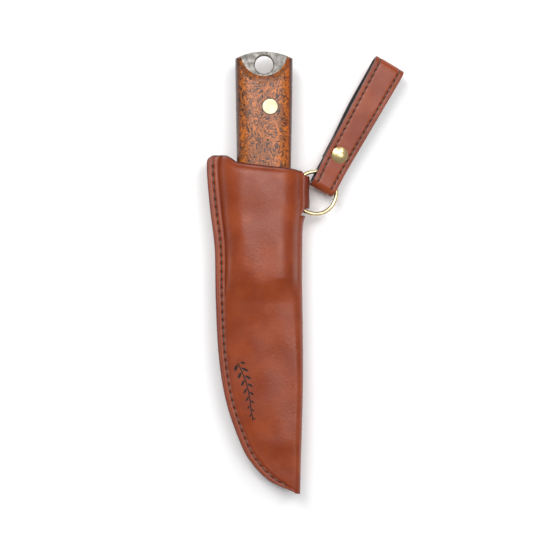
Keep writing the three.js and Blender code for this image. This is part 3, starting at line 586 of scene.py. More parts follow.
def makeScale(name, side, material):
    # columns go round the crown by angle, rows from the shoulder to the butt; the ball scoop
    # is the lower of crown and sphere, and the end face drops to the tang
    low = steelHalf + 0.02
    angle = np.linspace(0, math.pi, 61)
    bent = np.sign(np.cos(angle)) * np.abs(np.cos(angle)) ** (2 / 3)
    rise = np.sin(angle) ** (2 / 3)
    v = np.concatenate([np.linspace(0, 0.05, 9)[:-1], np.linspace(0.05, 0.72, 46)[:-1],
                        np.linspace(0.72, 1, 62)])[:, None]
    ballZ = steelHalf + math.sqrt(knife["scoopBall"] ** 2 - knife["scoopRadius"] ** 2)
    ballY = knife["handleShown"] - knife["scoopInset"]
    reach = math.sqrt(knife["scoopBall"] ** 2 - (ballZ - low) ** 2)
    endX = handleHalfWidth(60.0) * bent
    arcEnd = buttY(endX) - knife["woodInset"]
    scoopEnd = ballY - np.sqrt(np.maximum(reach**2 - endX**2, 0))
    end = np.where(np.abs(endX) < reach, np.minimum(arcEnd, scoopEnd), arcEnd)
    y = lerp(shoulderY, end[None], v)
    x = handleHalfWidth(y) * bent[None]
    nose = np.clip((y - shoulderY) / knife["shoulderCap"], 0, 1)
    full = 0.74 + 0.26 * np.sqrt(1 - (1 - nose) ** 2)
    z = handleHalfThickness(y) * rise[None] * full
    away = np.sqrt(x**2 + (y - ballY) ** 2)
    ball = ballZ - np.sqrt(np.maximum(knife["scoopBall"] ** 2 - away**2, 0))
    z = np.where(away < knife["scoopBall"] - 0.01, softMin(z, ball, 0.16), z)
    back = end[None] - y
    edge = 0.9
    z = z - (edge - np.sqrt(np.maximum(edge**2 - np.maximum(edge - back, 0) ** 2, 0))) * (z > low)
    z = np.maximum(z, low)
    z[:, [0, -1]] = low
    top = np.stack([x, y, z], -1)
    lastX, lastY, lastZ = x[-1], y[-1], z[-1]
    drop = np.array([np.stack([lastX, lastY, lerp(lastZ, low, s)], -1) for s in (0.35, 0.7, 1)])
    floor = (top * [1, 1, 0] + [0, 0, low])[::-1]
    start = np.array([np.stack([x[0], y[0], lerp(low, z[0], s)], -1) for s in (0.35, 0.7, 1)])
    grid = np.concatenate([top, drop, floor[1:], start])
    return makePiece(name, grid.reshape(-1, 3) * [1, 1, side] + knifeOrigin,
                     [gridFaces(*grid.shape[:2])], material, 55)


def makePin(name, x, y, material):
    # a disc whose ends follow the crown of the scales, with a fine bevel
    turn = np.linspace(0, 2 * math.pi, 64, endpoint=False)
    radius = knife["pinRadius"]
    rings = [(0.0, 0.0), (0.35, 0.0), (0.7, 0.0), (0.9, 0.0), (0.965, 0.0), (1.0, 0.12), (1.0, 3.0)]
    grid = []
    for share, down in rings:
        px, py = x + radius * share * np.cos(turn), y + radius * share * np.sin(turn)
        grid.append(np.stack([px, py, woodTop(px, py) + 0.05 - down], -1))
    half = np.array(grid)
    whole = np.concatenate([half, (half * [1, 1, -1])[::-1]])
    return makePiece(name, whole.reshape(-1, 3) + knifeOrigin,
                     [gridFaces(*whole.shape[:2], closeColumns=True)], material, 35)


print("knife")
finishPiece(makeBlade(), "knife", "steel", "blade_and_tang")
pinMarks = [(knifeOrigin[0] + x, knifeOrigin[1] + y, knife["pinRadius"]) for x, y in pinSpots]
wood = burlWood(pinMarks, 15.8)
finishPiece(makeScale("frontScale", 1, wood), "knife", "wood", "front_scale")
finishPiece(makeScale("backScale", -1, wood), "knife", "wood", "back_scale")
paleBrass = brass("pale pin brass", (0.6, 0.52, 0.35, 1), 0.46)
for pinName, cadName, (pinX, pinY) in zip(("buttPin", "shoulderPin"),
                                          ("butt_pin", "shoulder_pin"), pinSpots):
    finishPiece(makePin(pinName, pinX, pinY, paleBrass), "knife", "brass", cadName)


# ---- sheath

sheath = {
    "leather": 2.4, "welt": 2.2, "seamWidth": 5.6, "flangeTop": 6.2, "flangeFoot": 4.5,
    "stitchInset": 3.3, "room": 0.4,
    "edgeRoom": 4.8, "mouthFlare": 4.8, "foldRoom": 6.9, "tipCover": 11.8, "tipWidth": 4.2,
    "mouthRise": 6.0, "foldRimDrop": 2.8, "tabRunOut": 7.0, "barNose": 3.95,
    "ringUp": 8.987, "pitch": 4.5, "rowsPerStitch": 8, "groove": 0.35, "holeDepth": 0.45,
    # strength of the painted shade beside the ring tab's fold
    "tabFoldShade": 0.5, "clearBelow": 0.02,
    "slotFront": 10, "slotBack": 14,       # columns of the mesh cut each side of the fold
    "lowSlot": (0.1, -4.2), "highSlot": -0.2,  # slot ends beside the ring's bar, mm
}
foldOut = spineX + sheath["foldRoom"]
sheathTipY = tipY - sheath["tipCover"]
seamHalf = sheath["welt"] / 2 + 0.3 + sheath["leather"]
tabX = layout["barFromAxis"] + sheath["barNose"]
ringTop = sheath["ringUp"] - layout["ringBelowMouth"]
ringFoot = -sheath["ringUp"] - layout["ringBelowMouth"]
flareShare = profile([[0, 0], [0.3, 0.1], [0.65, 0.65], [1, 1]])


def seamPoint(y):
    # the cutting edge moved outwards square to itself, plus the flare toward the mouth
    slope = bladeEdgeX(y + 0.5) - bladeEdgeX(y - 0.5)
    outward = np.array([-1, slope]) / math.hypot(1, slope)
    outward = outward * (sheath["seamWidth"] + sheath["edgeRoom"])
    return [bladeEdgeX(y) + outward[0] - sheath["mouthFlare"] * flareShare(1 - y / shoulderY),
            y + outward[1]]


cornerX = seamPoint(0.0)[0]
tipX = foldOut - 0.4 * sheath["tipWidth"]
seamStations = [shoulderY - knife["bladeLength"] * s for s in (0.1, 0.4, 0.6, 0.76, 0.87, 0.95)]
seamCurve, seamLength = smoothCurve(
    [[cornerX + 2.4, sheath["mouthRise"]], [cornerX + 0.48, sheath["mouthRise"] - 1.7],
     seamPoint(0.0), seamPoint(shoulderY * 0.35), seamPoint(shoulderY * 0.7)]
    + [seamPoint(y) for y in seamStations]
    + [[tipX - sheath["tipWidth"], sheathTipY + 0.5 * sheath["tipWidth"]]])
foldCurve, _ = smoothCurve([
    [tabX - 1.58, -sheath["foldRimDrop"]], [tabX, ringTop], [tabX, -layout["ringBelowMouth"]],
    [tabX, ringFoot], [lerp(foldOut, tabX, 0.23), ringFoot - sheath["tabRunOut"]],
    [foldOut, shoulderY * 0.8], [foldOut, shoulderY - knife["bladeLength"] * 0.5],
    [foldOut - 1.26, tipY + 5.9], [tipX, sheathTipY + 0.63]])
noseRadius = profile([
    [sheathTipY, seamHalf], [tipY, 4.4], [shoulderY - knife["bladeLength"] * 0.5, 4.9],
    [shoulderY, 6.2], [ringFoot - sheath["tabRunOut"] - 1, 6], [ringFoot - 1, sheath["barNose"]]])
bladeCover = steelHalf + sheath["room"] + sheath["leather"] + 0.3
coverHeight = profile([
    [sheathTipY, seamHalf], [tipY, seamHalf + 0.1], [tipY + 16, bladeCover],
    [shoulderY - knife["bladeLength"] * 0.45, bladeCover + 0.6],
    [shoulderY - knife["bladeLength"] * 0.12, bladeCover + 3.4],
    [shoulderY, barMiddle[2] - 0.6], [shoulderY + 10, barMiddle[2] + 0.4]])
rimHeight = profile([
    [cornerX + 9.7, sheath["mouthRise"]], [cornerX + 13, sheath["mouthRise"] - 1.6],
    [-15.1, 1.8], [0, -0.4], [15.1, -1.9], [tabX, -3.0]])


def sheathHalf(u):
    # sections across the sheath from the seam's edge to the fold, as distance and half height:
    # a flat flange, then a power sum of a rising base and the leather drawn over the knife,
    # then a quarter turn round the fold
    shares = np.array([0, 0.03, 0.08, 0.16, 0.26, 0.36, 0.44, 0.5, 0.56, 0.62, 0.7, 0.8, 0.9, 1])
    bodyShares = np.linspace(0, 1, 37)[1:]
    turns = np.radians(np.linspace(0, 90, 14)[1:])
    flangeShare = np.concatenate([shares, np.ones(len(bodyShares) + len(turns))])
    along = np.concatenate([np.zeros(len(shares)), bodyShares, np.ones(len(turns))])
    turn = np.concatenate([np.zeros(len(shares) + len(bodyShares)), turns])
    seam, fold = seamCurve(u), foldCurve(u)
    across = fold - seam
    width = np.linalg.norm(across, axis=1, keepdims=True)
    across = across / width
    nose = np.minimum(noseRadius(fold[:, 1:2]), width - 0.4)
    flange = lerp(sheath["flangeTop"], sheath["flangeFoot"], smoothstep(u, 0.12, 0.5))[:, None]
    flat = np.minimum(flange, 0.45 * (width - nose))
    distance = flat * flangeShare + (width - nose - flat) * along + nose * np.sin(turn)
    x = seam[:, :1] + across[:, :1] * distance
    y = seam[:, 1:] + across[:, 1:] * distance
    base = lerp(seamHalf, nose, smoothstep(along, 0, 1)) * np.cos(turn)
    inHandle = smoothstep(y, shoulderY - 6, shoulderY + 2)
    left = lerp(bladeEdgeX(y), np.minimum(-handleHalfWidth(y), bladeEdgeX(y)), inHandle) - 5.4
    left = np.maximum(left, seam[:, :1] + flat + 0.2)
    left = lerp(left, seam[:, :1] + flat + 0.2, 0.85 * inHandle)
    gripRight = lerp(handleHalfWidth(y) + 4.2, fold[:, :1] - 1.0, 0.35)
    right = lerp(fold[:, :1] - 0.8, gripRight, inHandle)
    share = np.clip(np.abs(2 * x - left - right) / (right - left), 0, 1)
    cover = coverHeight(y) * (1 - share ** lerp(2.1, 2.6, inHandle)) ** (1 / 2.2) * np.cos(turn)
    cover = cover * smoothstep(y, tipY - 4, tipY + 20)
    power = lerp(lerp(3.4, 6.0, smoothstep(along, 0.3, 1)), 2.5,
                 inHandle * smoothstep(along, 0.5, 0.8))
    height = (base**power + cover**power) ** (1 / power)
    height = softMin(height, float(barMiddle[2]), 0.25)
    return seam, across, distance, height, flat


def sheathPlaces(u, seam, across, distance, height):
    # section distances become places, with the mouth's rim bent to its curve near the top
    x = seam[:, :1] + across[:, :1] * distance
    y = seam[:, 1:] + across[:, 1:] * distance
    top, rightEnd = seamCurve(0.0), foldCurve(0.0)
    line = lerp(top[1], rightEnd[1], (x - top[0]) / (rightEnd[0] - top[0]))
    fade = np.maximum(0, 1 - u[:, None] / 0.16) ** 2
    lean = 0.55 * smoothstep(-y, 30, 140)
    return np.stack([x + lean, y + (rimHeight(x) - line) * fade, height], -1)


def unroll(front):
    # front half then its mirror image, as one row from seam edge to seam edge
    return np.concatenate([front, (front * [1, 1, -1])[:, -2::-1]], axis=1)


def makeSheath():
    # front half from its sections, its mirror image behind, an inner side, and rims that close them
    stitches = round(seamLength / sheath["pitch"])
    u = np.linspace(0, 1, stitches * sheath["rowsPerStitch"] + 1)
    seam, across, distance, height, flat = sheathHalf(u)
    # inner side first, square to the section, from the surface before it is worked
    run = np.stack([np.gradient(distance, axis=1), np.gradient(height, axis=1)], -1)
    run[:, -1] = [0, -1]
    run[:, :3] = [1, 0]
    run /= np.linalg.norm(run, axis=2, keepdims=True)
    innerDistance = distance + run[..., 1] * sheath["leather"]
    innerHeight = np.maximum(height - run[..., 0] * sheath["leather"], 0)
    # worked surface: rounded flange edge, crease beside it, stitch groove, holes, soft dents
    phase = u[:, None] * stitches + 0 * distance
    stitched = (smoothstep(phase, 0.6, 0.9)
                * (1 - smoothstep(phase, stitches - 2.1, stitches - 1.8)))
    edge = 0.7
    drop = edge - np.sqrt(edge**2 - np.maximum(edge - distance, 0) ** 2)
    groove = sheath["groove"] * np.exp(-((distance - sheath["stitchInset"]) / 0.75) ** 2)
    crease = 0.42 * np.exp(-((distance - flat) / 0.55) ** 2)
    holeAlong = (phase % 1 - 0.5) * sheath["pitch"] / 1.1
    holeAcross = (distance - sheath["stitchInset"]) / 0.55
    hole = sheath["holeDepth"] * np.exp(-(holeAlong**2 + holeAcross**2)) * stitched
    x = seam[:, :1] + across[:, :1] * distance
    y = seam[:, 1:] + across[:, 1:] * distance
    waves = (0.12 * np.sin(0.31 * x + 0.13 * y + 1.0) + 0.1 * np.sin(0.12 * x - 0.21 * y + 2.4)
             + 0.07 * np.sin(0.4 * x + 0.07 * y))
    waist = 0.3 * np.exp(-((y + 26) / 7) ** 2)
    worked = height - drop - groove - crease - hole
    worked = worked - (waves * 0.5 + 0.15 + waist) * smoothstep(distance, flat + 1, flat + 8)
    below = (u * seamLength)[:, None]
    roll = 0.3 * np.exp(-((below - 1.7) / 1.0) ** 2) - 0.16 * np.exp(-((below - 4.6) / 1.5) ** 2)
    worked = worked + roll * smoothstep(distance, flat, flat + 3)
    worked = np.minimum(worked, barMiddle[2] - sheath["clearBelow"])  # no lower than what it lies on
    outer = unroll(sheathPlaces(u, seam, across, distance, worked))
    inner = unroll(sheathPlaces(u, seam, across, innerDistance, innerHeight))
    rows, columns = outer.shape[:2]
    steps = np.array([0.12, 0.35, 0.65, 0.88])
    bulge = np.sqrt(1 - (2 * steps - 1) ** 2)

    def lip(a, b, outward, amount):
        # rows of points from edge a to edge b, standing out in a half round
        return np.array([lerp(a, b, s) + outward * (amount * h)[:, None]
                         for s, h in zip(steps, bulge)])

    ends = np.minimum(1, np.minimum(np.arange(columns), columns - 1 - np.arange(columns)) / 3)
    up = outer[0] - outer[1]
    up /= np.linalg.norm(up, axis=1, keepdims=True)
    down = outer[-1] - outer[-2]
    down /= np.linalg.norm(down, axis=1, keepdims=True)
    rowEnds = np.minimum(1, np.minimum(np.arange(rows), rows - 1 - np.arange(rows)) / 3)
    outside = np.column_stack([-across, np.zeros(rows)])
    strips = [outer, inner, lip(outer[0], inner[0], up, 0.55 * ends),
              lip(outer[-1], inner[-1], down, 0.5 * ends),
              lip(outer[:, 0], inner[:, 0], outside, 0.3 * rowEnds),
              lip(outer[:, -1], inner[:, -1], outside, 0.3 * rowEnds)]
    starts = np.cumsum([0] + [s.shape[0] * s.shape[1] for s in strips])
    numbers = [np.arange(s.shape[0] * s.shape[1]).reshape(s.shape[:2]) + start
               for s, start in zip(strips, starts)]
    outerNo, innerNo, rimNo, tipNo, frontNo, backNo = numbers

    # the two slots that let the ring's arms out through the fold
    halfColumns = (columns + 1) // 2
    frontTurn = halfColumns - 1 - sheath["slotFront"]
    backTurn = halfColumns - 1 + sheath["slotBack"]
    rimLift = (rimHeight(tabX) - foldCurve(0.0)[1]) * np.maximum(0, 1 - u / 0.16) ** 2
    foldY = foldCurve(u)[:, 1] + rimLift
    lowTop = int(np.argmin(np.abs(foldY - (ringFoot + sheath["lowSlot"][0]))))
    lowFoot = int(np.argmin(np.abs(foldY - (ringFoot + sheath["lowSlot"][1]))))
    highFoot = int(np.argmin(np.abs(foldY - (ringTop + sheath["highSlot"]))))
    openFaces = np.zeros((rows - 1, columns - 1), bool)
    openFaces[lowTop:lowFoot, frontTurn:backTurn] = True
    openFaces[:highFoot, frontTurn:backTurn] = True
    keep = ~openFaces.ravel()
    faces = [gridFaces(rows, columns)[keep], gridFaces(rows, columns, first=starts[1])[keep]]

    def band(numbersList, skip=None):
        # quads between neighbouring rows of point numbers
        rowsNo = np.array(numbersList)
        a, b = rowsNo[:-1, :-1], rowsNo[:-1, 1:]
        quads = np.stack([a, b, rowsNo[1:, 1:], rowsNo[1:, :-1]], -1)
        if skip is not None:
            quads = quads[:, ~skip]
        return quads.reshape(-1, 4)

    skipRim = np.zeros(columns - 1, bool)
    skipRim[frontTurn:backTurn] = True
    faces += [band([outerNo[0], *rimNo, innerNo[0]], skipRim),
              band([outerNo[-1], *tipNo, innerNo[-1]]),
              band([outerNo[:, 0], *frontNo, innerNo[:, 0]]),
              band([outerNo[:, -1], *backNo, innerNo[:, -1]])]

    def wall(rowList, columnList):
        # quads from a run of outer points to the inner points under it
        a, b = outerNo[rowList, columnList], innerNo[rowList, columnList]
        return np.stack([a[:-1], a[1:], b[1:], b[:-1]], -1)

    span = np.arange(frontTurn, backTurn + 1)
    lowRows, highRows = np.arange(lowTop, lowFoot + 1), np.arange(1, highFoot + 1)
    for row in (lowTop, lowFoot, highFoot):
        faces.append(wall(np.full(len(span), row), span))
    for column in (frontTurn, backTurn):
        faces.append(wall(lowRows, np.full(len(lowRows), column)))
        faces.append(wall(highRows, np.full(len(highRows), column)))
        faces.append([[int(outerNo[0, column]), int(outerNo[1, column]), int(innerNo[1, column]),
                       int(innerNo[0, column])] + [int(n) for n in rimNo[::-1, column]]])

    # marks that the finish reads
    tabLength = layout["ringBelowMouth"] + sheath["ringUp"] + sheath["tabRunOut"]

    def full(half):
        # values of the front half, then the same in mirror order
        return np.concatenate([half, half[:, -2::-1]], axis=1)

    fromRim = (u * seamLength)[:, None] + 0 * full(distance)
    burnishAndShade = np.maximum(np.exp(-fromRim / 0.9), 0.55 * np.exp(-full(distance) / 0.5))
    # painted shade in the crease where the body rises from the flange
    burnishAndShade = np.maximum(burnishAndShade, 0.35 * np.exp(-((full(distance - flat)) / 0.5) ** 2))
    # painted shade beside the fold down the ring tab
    fromFold = full(distance[:, -1:] - distance)
    foldShade = sheath["tabFoldShade"] * (1 - smoothstep(fromFold, 2.4, 4.4))
    foldShade = foldShade * (1 - smoothstep(fromRim, tabLength - 3, tabLength + 3))
    burnishAndShade = np.maximum(burnishAndShade, foldShade)
    lips = starts[-1] - starts[2]
    marks = {
        "burnishAndShade": np.concatenate([burnishAndShade.ravel(), 0 * burnishAndShade.ravel(), np.full(lips, 0.85)]),
        "flesh": np.concatenate([0 * burnishAndShade.ravel(), np.ones(burnishAndShade.size), np.zeros(lips)]),
        "stitchPhase": np.concatenate([full(phase).ravel(), np.zeros(burnishAndShade.size + lips)]),
        "edgeInset": np.concatenate([full(distance).ravel(), np.full(burnishAndShade.size + lips, 50.0)]),
        "stitched": np.concatenate([full(stitched).ravel(), np.zeros(burnishAndShade.size + lips)]),
    }
    points = np.concatenate([s.reshape(-1, 3) for s in strips]) + knifeOrigin
    material = brownLeather("sheath leather", sheath["pitch"], sheath["stitchInset"], sprig=True)
    piece = makePiece("sheathLeather", points, faces, material, 60, marks)
    finishPiece(piece, "sheath", "brown_leather", "sheath_leather")
    return u, stitches, material


def makeWelt(material):
    # the middle layer of the seam: a strip between the two leathers, rounded at its edge
    u = np.linspace(0, 0.996, 240)
    seam, across, distance, height, flat = sheathHalf(u)
    half = seamHalf - sheath["leather"] - 0.03
    section = [(0.35, half), (0.12, half * 0.8), (0.0, half * 0.35), (0.0, -half * 0.35),
               (0.12, -half * 0.8), (0.35, -half), (5.2, -half), (5.2, half)]
    rings = []
    for into, z in section:
        into = np.minimum(np.full((len(u), 1), into), flat)
        rings.append(sheathPlaces(u, seam, across, into, np.full((len(u), 1), z))[:, 0])
    grid = np.stack(rings, axis=1)
    corners = range(len(section))
    caps = [list(corners), [(len(u) - 1) * len(section) + k for k in corners]]
    marks = {"burnishAndShade": np.full(grid.shape[:2], 0.75), "flesh": np.zeros(grid.shape[:2]),
             "stitchPhase": np.zeros(grid.shape[:2]), "edgeInset": np.full(grid.shape[:2], 50.0),
             "stitched": np.zeros(grid.shape[:2])}
    piece = makePiece("seamWelt", grid.reshape(-1, 3) + knifeOrigin,
                      [gridFaces(*grid.shape[:2], closeColumns=True), caps], material, 50, marks)
    finishPiece(piece, "sheath", "brown_leather", "seam_welt")


stitchShape = {"radius": 0.36, "share": 0.36, "lift": 0.16, "dip": 0.55}


def makeStitches(name, middles, alongs, ups, pitch, material):
    # each stitch is a short bow of thread: its line rises by lift and dips into the leather at
    # both ends, and its radius narrows as the square root of 1 - t^4
    look = stitchShape
    t = np.linspace(-1, 1, 8)
    turn = np.linspace(0, 2 * math.pi, 6, endpoint=False)
    reach = pitch * look["share"] * t
    rise = look["lift"] - (look["lift"] + look["dip"]) * np.abs(t) ** 3
    size = look["radius"] * np.sqrt(np.maximum(1 - t**4, 0.02))
    sides = np.cross(alongs, ups)
    line = middles[:, None] + alongs[:, None] * reach[:, None] + ups[:, None] * rise[:, None]
    line = line + sides[:, None] * (0.13 * t)[:, None]
    ring = (sides[:, None] * np.cos(turn)[None, :, None]
            + ups[:, None] * np.sin(turn)[None, :, None])
    tube = line[:, :, None] + ring[:, None] * size[None, :, None, None]
    count, steps, corners = tube.shape[:3]
    faces = gridFaces(steps, corners, closeColumns=True)
    starts = (np.arange(count) * steps * corners)[:, None, None]
    quads = (faces[None] + starts).reshape(-1, 4)
    caps = []
    for k in range(count):
        first = k * steps * corners
        caps.append(list(range(first, first + corners)))
        caps.append(list(range(first + (steps - 1) * corners, first + steps * corners)))
    return makePiece(name, tube.reshape(-1, 3), [quads, caps], material, 80)


print("sheath")
_, stitchCount, sheathMaterial = makeSheath()
makeWelt(sheathMaterial)
thread = waxedThread()
stitchU = np.arange(1, stitchCount - 1) / stitchCount
seam, across, distance, height, flat = sheathHalf(stitchU)
at = sheathPlaces(stitchU, seam, across, np.full((len(stitchU), 1), sheath["stitchInset"]),
                  np.full((len(stitchU), 1), seamHalf - sheath["groove"] + 0.1))[:, 0]
ahead = np.gradient(at, axis=0)
ahead /= np.linalg.norm(ahead, axis=1, keepdims=True)
upward = np.tile([0.0, 0.0, 1.0], (len(at), 1))
flip = np.array([1, 1, -1])
seamStitches = makeStitches("seamStitches", np.concatenate([at, at * flip]) + knifeOrigin,
                            np.concatenate([ahead, ahead * flip]),
                            np.concatenate([upward, -upward]),
                            sheath["pitch"], thread)
finishPiece(seamStitches, "sheath", "thread", "seam_thread")


# ---- ring

ring = {"wire": 2.3, "bow": 11.9, "offset": 7.8}
ringNormal = jointAxis("loop_slide")
ringUp = jointAxis("ring_swing")
ringOut = np.cross(ringUp, ringNormal)


def makeRing(material):
    # a round section carried along the straight bar and the bow that closes it
    barHalf = math.sqrt(ring["bow"] ** 2 - ring["offset"] ** 2)
    corner = 0.6 * ring["wire"]
    reach = math.acos((corner - ring["offset"]) / ring["bow"])
    turns = np.linspace(reach, -reach, 17)
    outline = [[0, corner - barHalf], [0, 0], [0, barHalf - corner]]
    outline += [[ring["offset"] + ring["bow"] * math.cos(t), ring["bow"] * math.sin(t)]
                for t in turns]
    curve, _ = smoothCurve(outline, closed=True)
    line = curve(np.linspace(0, 1, 180, endpoint=False))
    ahead = np.roll(line, -1, axis=0) - np.roll(line, 1, axis=0)
    ahead /= np.linalg.norm(ahead, axis=1, keepdims=True)
    sideways = np.stack([ahead[:, 1], -ahead[:, 0]], -1)
    turn = np.linspace(0, 2 * math.pi, 24, endpoint=False)
    flatPlace = line[:, None] + sideways[:, None] * (np.cos(turn) * ring["wire"] / 2)[:, None]
    rise = np.broadcast_to(np.sin(turn) * ring["wire"] / 2, flatPlace.shape[:2])
    points = (barMiddle + flatPlace[..., :1] * ringOut + flatPlace[..., 1:] * ringUp
              + rise[..., None] * ringNormal)
    return makePiece("ringWire", points.reshape(-1, 3),
                     [gridFaces(180, 24, closeRows=True, closeColumns=True)], material, 80)


print("ring")
ringBrass = brass("polished brass", (0.76, 0.62, 0.37, 1), 0.27)
finishPiece(makeRing(ringBrass), "ring", "brass", "d_ring")


# ---- belt loop

strap = {
    "length": 81.4, "widthAtRing": 14.2, "widthAtTop": 18.2, "sideways": 0.35,
    "leather": 1.75, "lining": 0.82,
    "foldRadius": 4.15, "neck": 13.0, "frontFace": 2.75, "topTurn": 4.3, "beltRoom": 6.6,
    "returnEnd": 31.45, "snapAlong": 22.9, "snapSideways": -0.2, "capRadius": 4.7,
    "pitch": 3.7, "rowsPerStitch": 8, "stitchInset": 2.75, "round": 0.45, "puff": 0.22,
}
turnCentre = strap["length"] - strap["topTurn"]
flapInside = -strap["frontFace"] - 0.3
flapOutside = flapInside - 2.6
neckPlace = jointPlace("loop_turn")
loopAcross = jointAxis("loop_turn")
hingeLocal = np.array([turnCentre - strap["neck"], strap["frontFace"] - 2 * strap["topTurn"]])
hingeSpan = jointPlace("loop_open") - neckPlace
spanAlong = hingeSpan / np.linalg.norm(hingeSpan)
spanUp = np.cross(loopAcross, spanAlong)
hingeLocal = hingeLocal / np.linalg.norm(hingeLocal)
loopAlong = hingeLocal[0] * spanAlong - hingeLocal[1] * spanUp
loopUp = hingeLocal[1] * spanAlong + hingeLocal[0] * spanUp
foldAlong = np.cross(ringNormal, loopAcross)


def strapHalfWidth(along):
    # half the width, growing evenly from the ring to the top
    return lerp(strap["widthAtRing"], strap["widthAtTop"], along / strap["length"]) / 2


def strapPlace(x, along, height):
    # the loop's own places in the object's frame; the stretch round the ring lies in the
    # ring's plane, and the neck eases from one plane into the other
    loop = neckPlace + (along - strap["neck"])[..., None] * loopAlong + height[..., None] * loopUp
    fold = (neckPlace + (along - strap["neck"])[..., None] * foldAlong
            + height[..., None] * ringNormal)
    share = smoothstep(along, 10.5, 16.5)[..., None]
    return lerp(fold, loop, share) + (x[..., None] + strap["sideways"]) * loopAcross


def evenPath(points, step):
    # a path resampled at even steps of its length
    p = np.array(points, float)
    lengths = np.concatenate([[0], np.cumsum(np.linalg.norm(np.diff(p, axis=0), axis=1))])
    count = max(4, int(round(lengths[-1] / step)))
    place = np.linspace(0, lengths[-1], count + 1)
    return np.stack([np.interp(place, lengths, p[:, k]) for k in range(2)], -1), place


def arcPoints(centre, radius, first, last, count):
    # centre + radius (cos t, sin t), t from first to last in degrees
    turn = np.radians(np.linspace(first, last, count))
    return [[centre[0] + radius * math.cos(t), centre[1] + radius * math.sin(t)] for t in turn]


def foldFlank(along):
    # outside of the leather between the fold round the ring and the closed neck
    return lerp(strap["foldRadius"], strap["frontFace"], smoothstep(along, 6.5, 18.5))


def strapBandPath():
    # return leg, half turn round the ring, front leg, half turn at the top
    flank = np.linspace(strap["foldRadius"], 20, 40)
    back = [[s, -foldFlank(s)] for s in flank[::-1]]
    front = [[s, foldFlank(s)] for s in flank]
    return ([[strap["returnEnd"], -strap["frontFace"]]] + back
            + arcPoints((strap["foldRadius"], 0), strap["foldRadius"], 270, 90, 26)[1:-1] + front
            + [[turnCentre, strap["frontFace"]]]
            + arcPoints((turnCentre, strap["frontFace"] - strap["topTurn"]), strap["topTurn"],
                        90, -90, 30)[1:])


flapHeight = profile([
    [17.75, flapOutside], [strap["snapAlong"] + strap["capRadius"], flapOutside],
    [0.62 * strap["length"], 0.15 - strap["beltRoom"] - 2.6],
    [turnCentre, strap["frontFace"] - 2 * strap["topTurn"]]])


def flapPath():
    # back from the top turn to the flap's end, at its profile's height
    return [[s, float(flapHeight(s))] for s in np.linspace(turnCentre, 17.6, 90)]


def makeBand(name, path, depths, material, rowFrom=None, rowTo=None, puff=0.0, taper=None):
    # a strip between two depths under a path: rows follow the path, and each row is a
    # rectangle across the strap with rounded corners
    step = strap["pitch"] / strap["rowsPerStitch"]
    line, place = evenPath(path, step)
    run = np.gradient(line, axis=0)
    run /= np.linalg.norm(run, axis=1, keepdims=True)
    inward = np.stack([run[:, 1], -run[:, 0]], -1)
    r = min(strap["round"], (depths[1] - depths[0]) * 0.45)
    bend = np.radians(np.linspace(0, 90, 5))
    cornerInset, cornerDepth = r * (1 - np.cos(bend)), r * (1 - np.sin(bend))
    topShare = np.linspace(-1, 1, 27)[1:-1]
    lowShare = np.linspace(1, -1, 9)[1:-1]
    share = np.concatenate([-np.ones(5), topShare, np.ones(5), np.ones(5), lowShare, -np.ones(5)])
    inset = np.concatenate([cornerInset, np.full(25, r), cornerInset[::-1], cornerInset,
                            np.full(7, r), cornerInset[::-1]])
    full = depths[1] - depths[0]
    depth = np.concatenate([cornerDepth, np.zeros(25), cornerDepth[::-1],
                            full - cornerDepth, np.full(7, full), full - cornerDepth[::-1]])
    isTop = np.concatenate([np.ones(35, bool), np.zeros(17, bool)])
    half = strapHalfWidth(line[:, 0])[:, None]
    x = share * (half - r) + np.sign(share) * (r - inset)
    fromEdge = half - np.abs(x)
    phase = (place[:, None] - (rowFrom or 0)) / strap["pitch"] + 0 * x
    stitched = np.zeros_like(x)
    work = np.zeros_like(x)
    if rowFrom is not None:
        stitched = ((place[:, None] > rowFrom) & (place[:, None] < rowTo)) + 0 * x
        underCap = np.hypot(x - strap["snapSideways"], line[:, :1] - strap["snapAlong"])
        groove = 0.26 * np.exp(-((fromEdge - strap["stitchInset"]) / 0.6) ** 2)
        holeAlong = (phase % 1 - 0.5) * strap["pitch"] / 0.95
        holeAcross = (fromEdge - strap["stitchInset"]) / 0.5
        hole = 0.4 * np.exp(-(holeAlong**2 + holeAcross**2)) * stitched
        crown = puff * (1 - (np.abs(x) / half) ** 4)
        seat = 0.25 * np.exp(-(underCap / 4.6) ** 4) if line[:, 1].max() > 0 else 0
        work = (groove + hole - crown + seat) * isTop
    depth = depths[0] + depth + work
    along = line[:, :1] + inward[:, :1] * depth
    height = line[:, 1:] + inward[:, 1:] * depth
    points = strapPlace(x, along, height)
    rows, columns = x.shape
    caps = [list(range(columns)), [(rows - 1) * columns + k for k in range(columns)]]
    burnishAndShade = np.clip(1 - fromEdge / 0.5, 0, 1) * 0.5 + np.where(isTop, 0, 0.9)
    side = (inset < r) & ((depth - depths[0]) / full > 0.2)
    burnishAndShade = np.clip(np.where(side, 1.0, burnishAndShade), 0, 1)
    marks = {"burnishAndShade": burnishAndShade, "flesh": np.zeros_like(x), "stitchPhase": phase,
             "edgeInset": fromEdge, "stitched": stitched * isTop}
    return makePiece(name, points.reshape(-1, 3),
                     [gridFaces(rows, columns, closeColumns=True), caps], material, 60, marks)


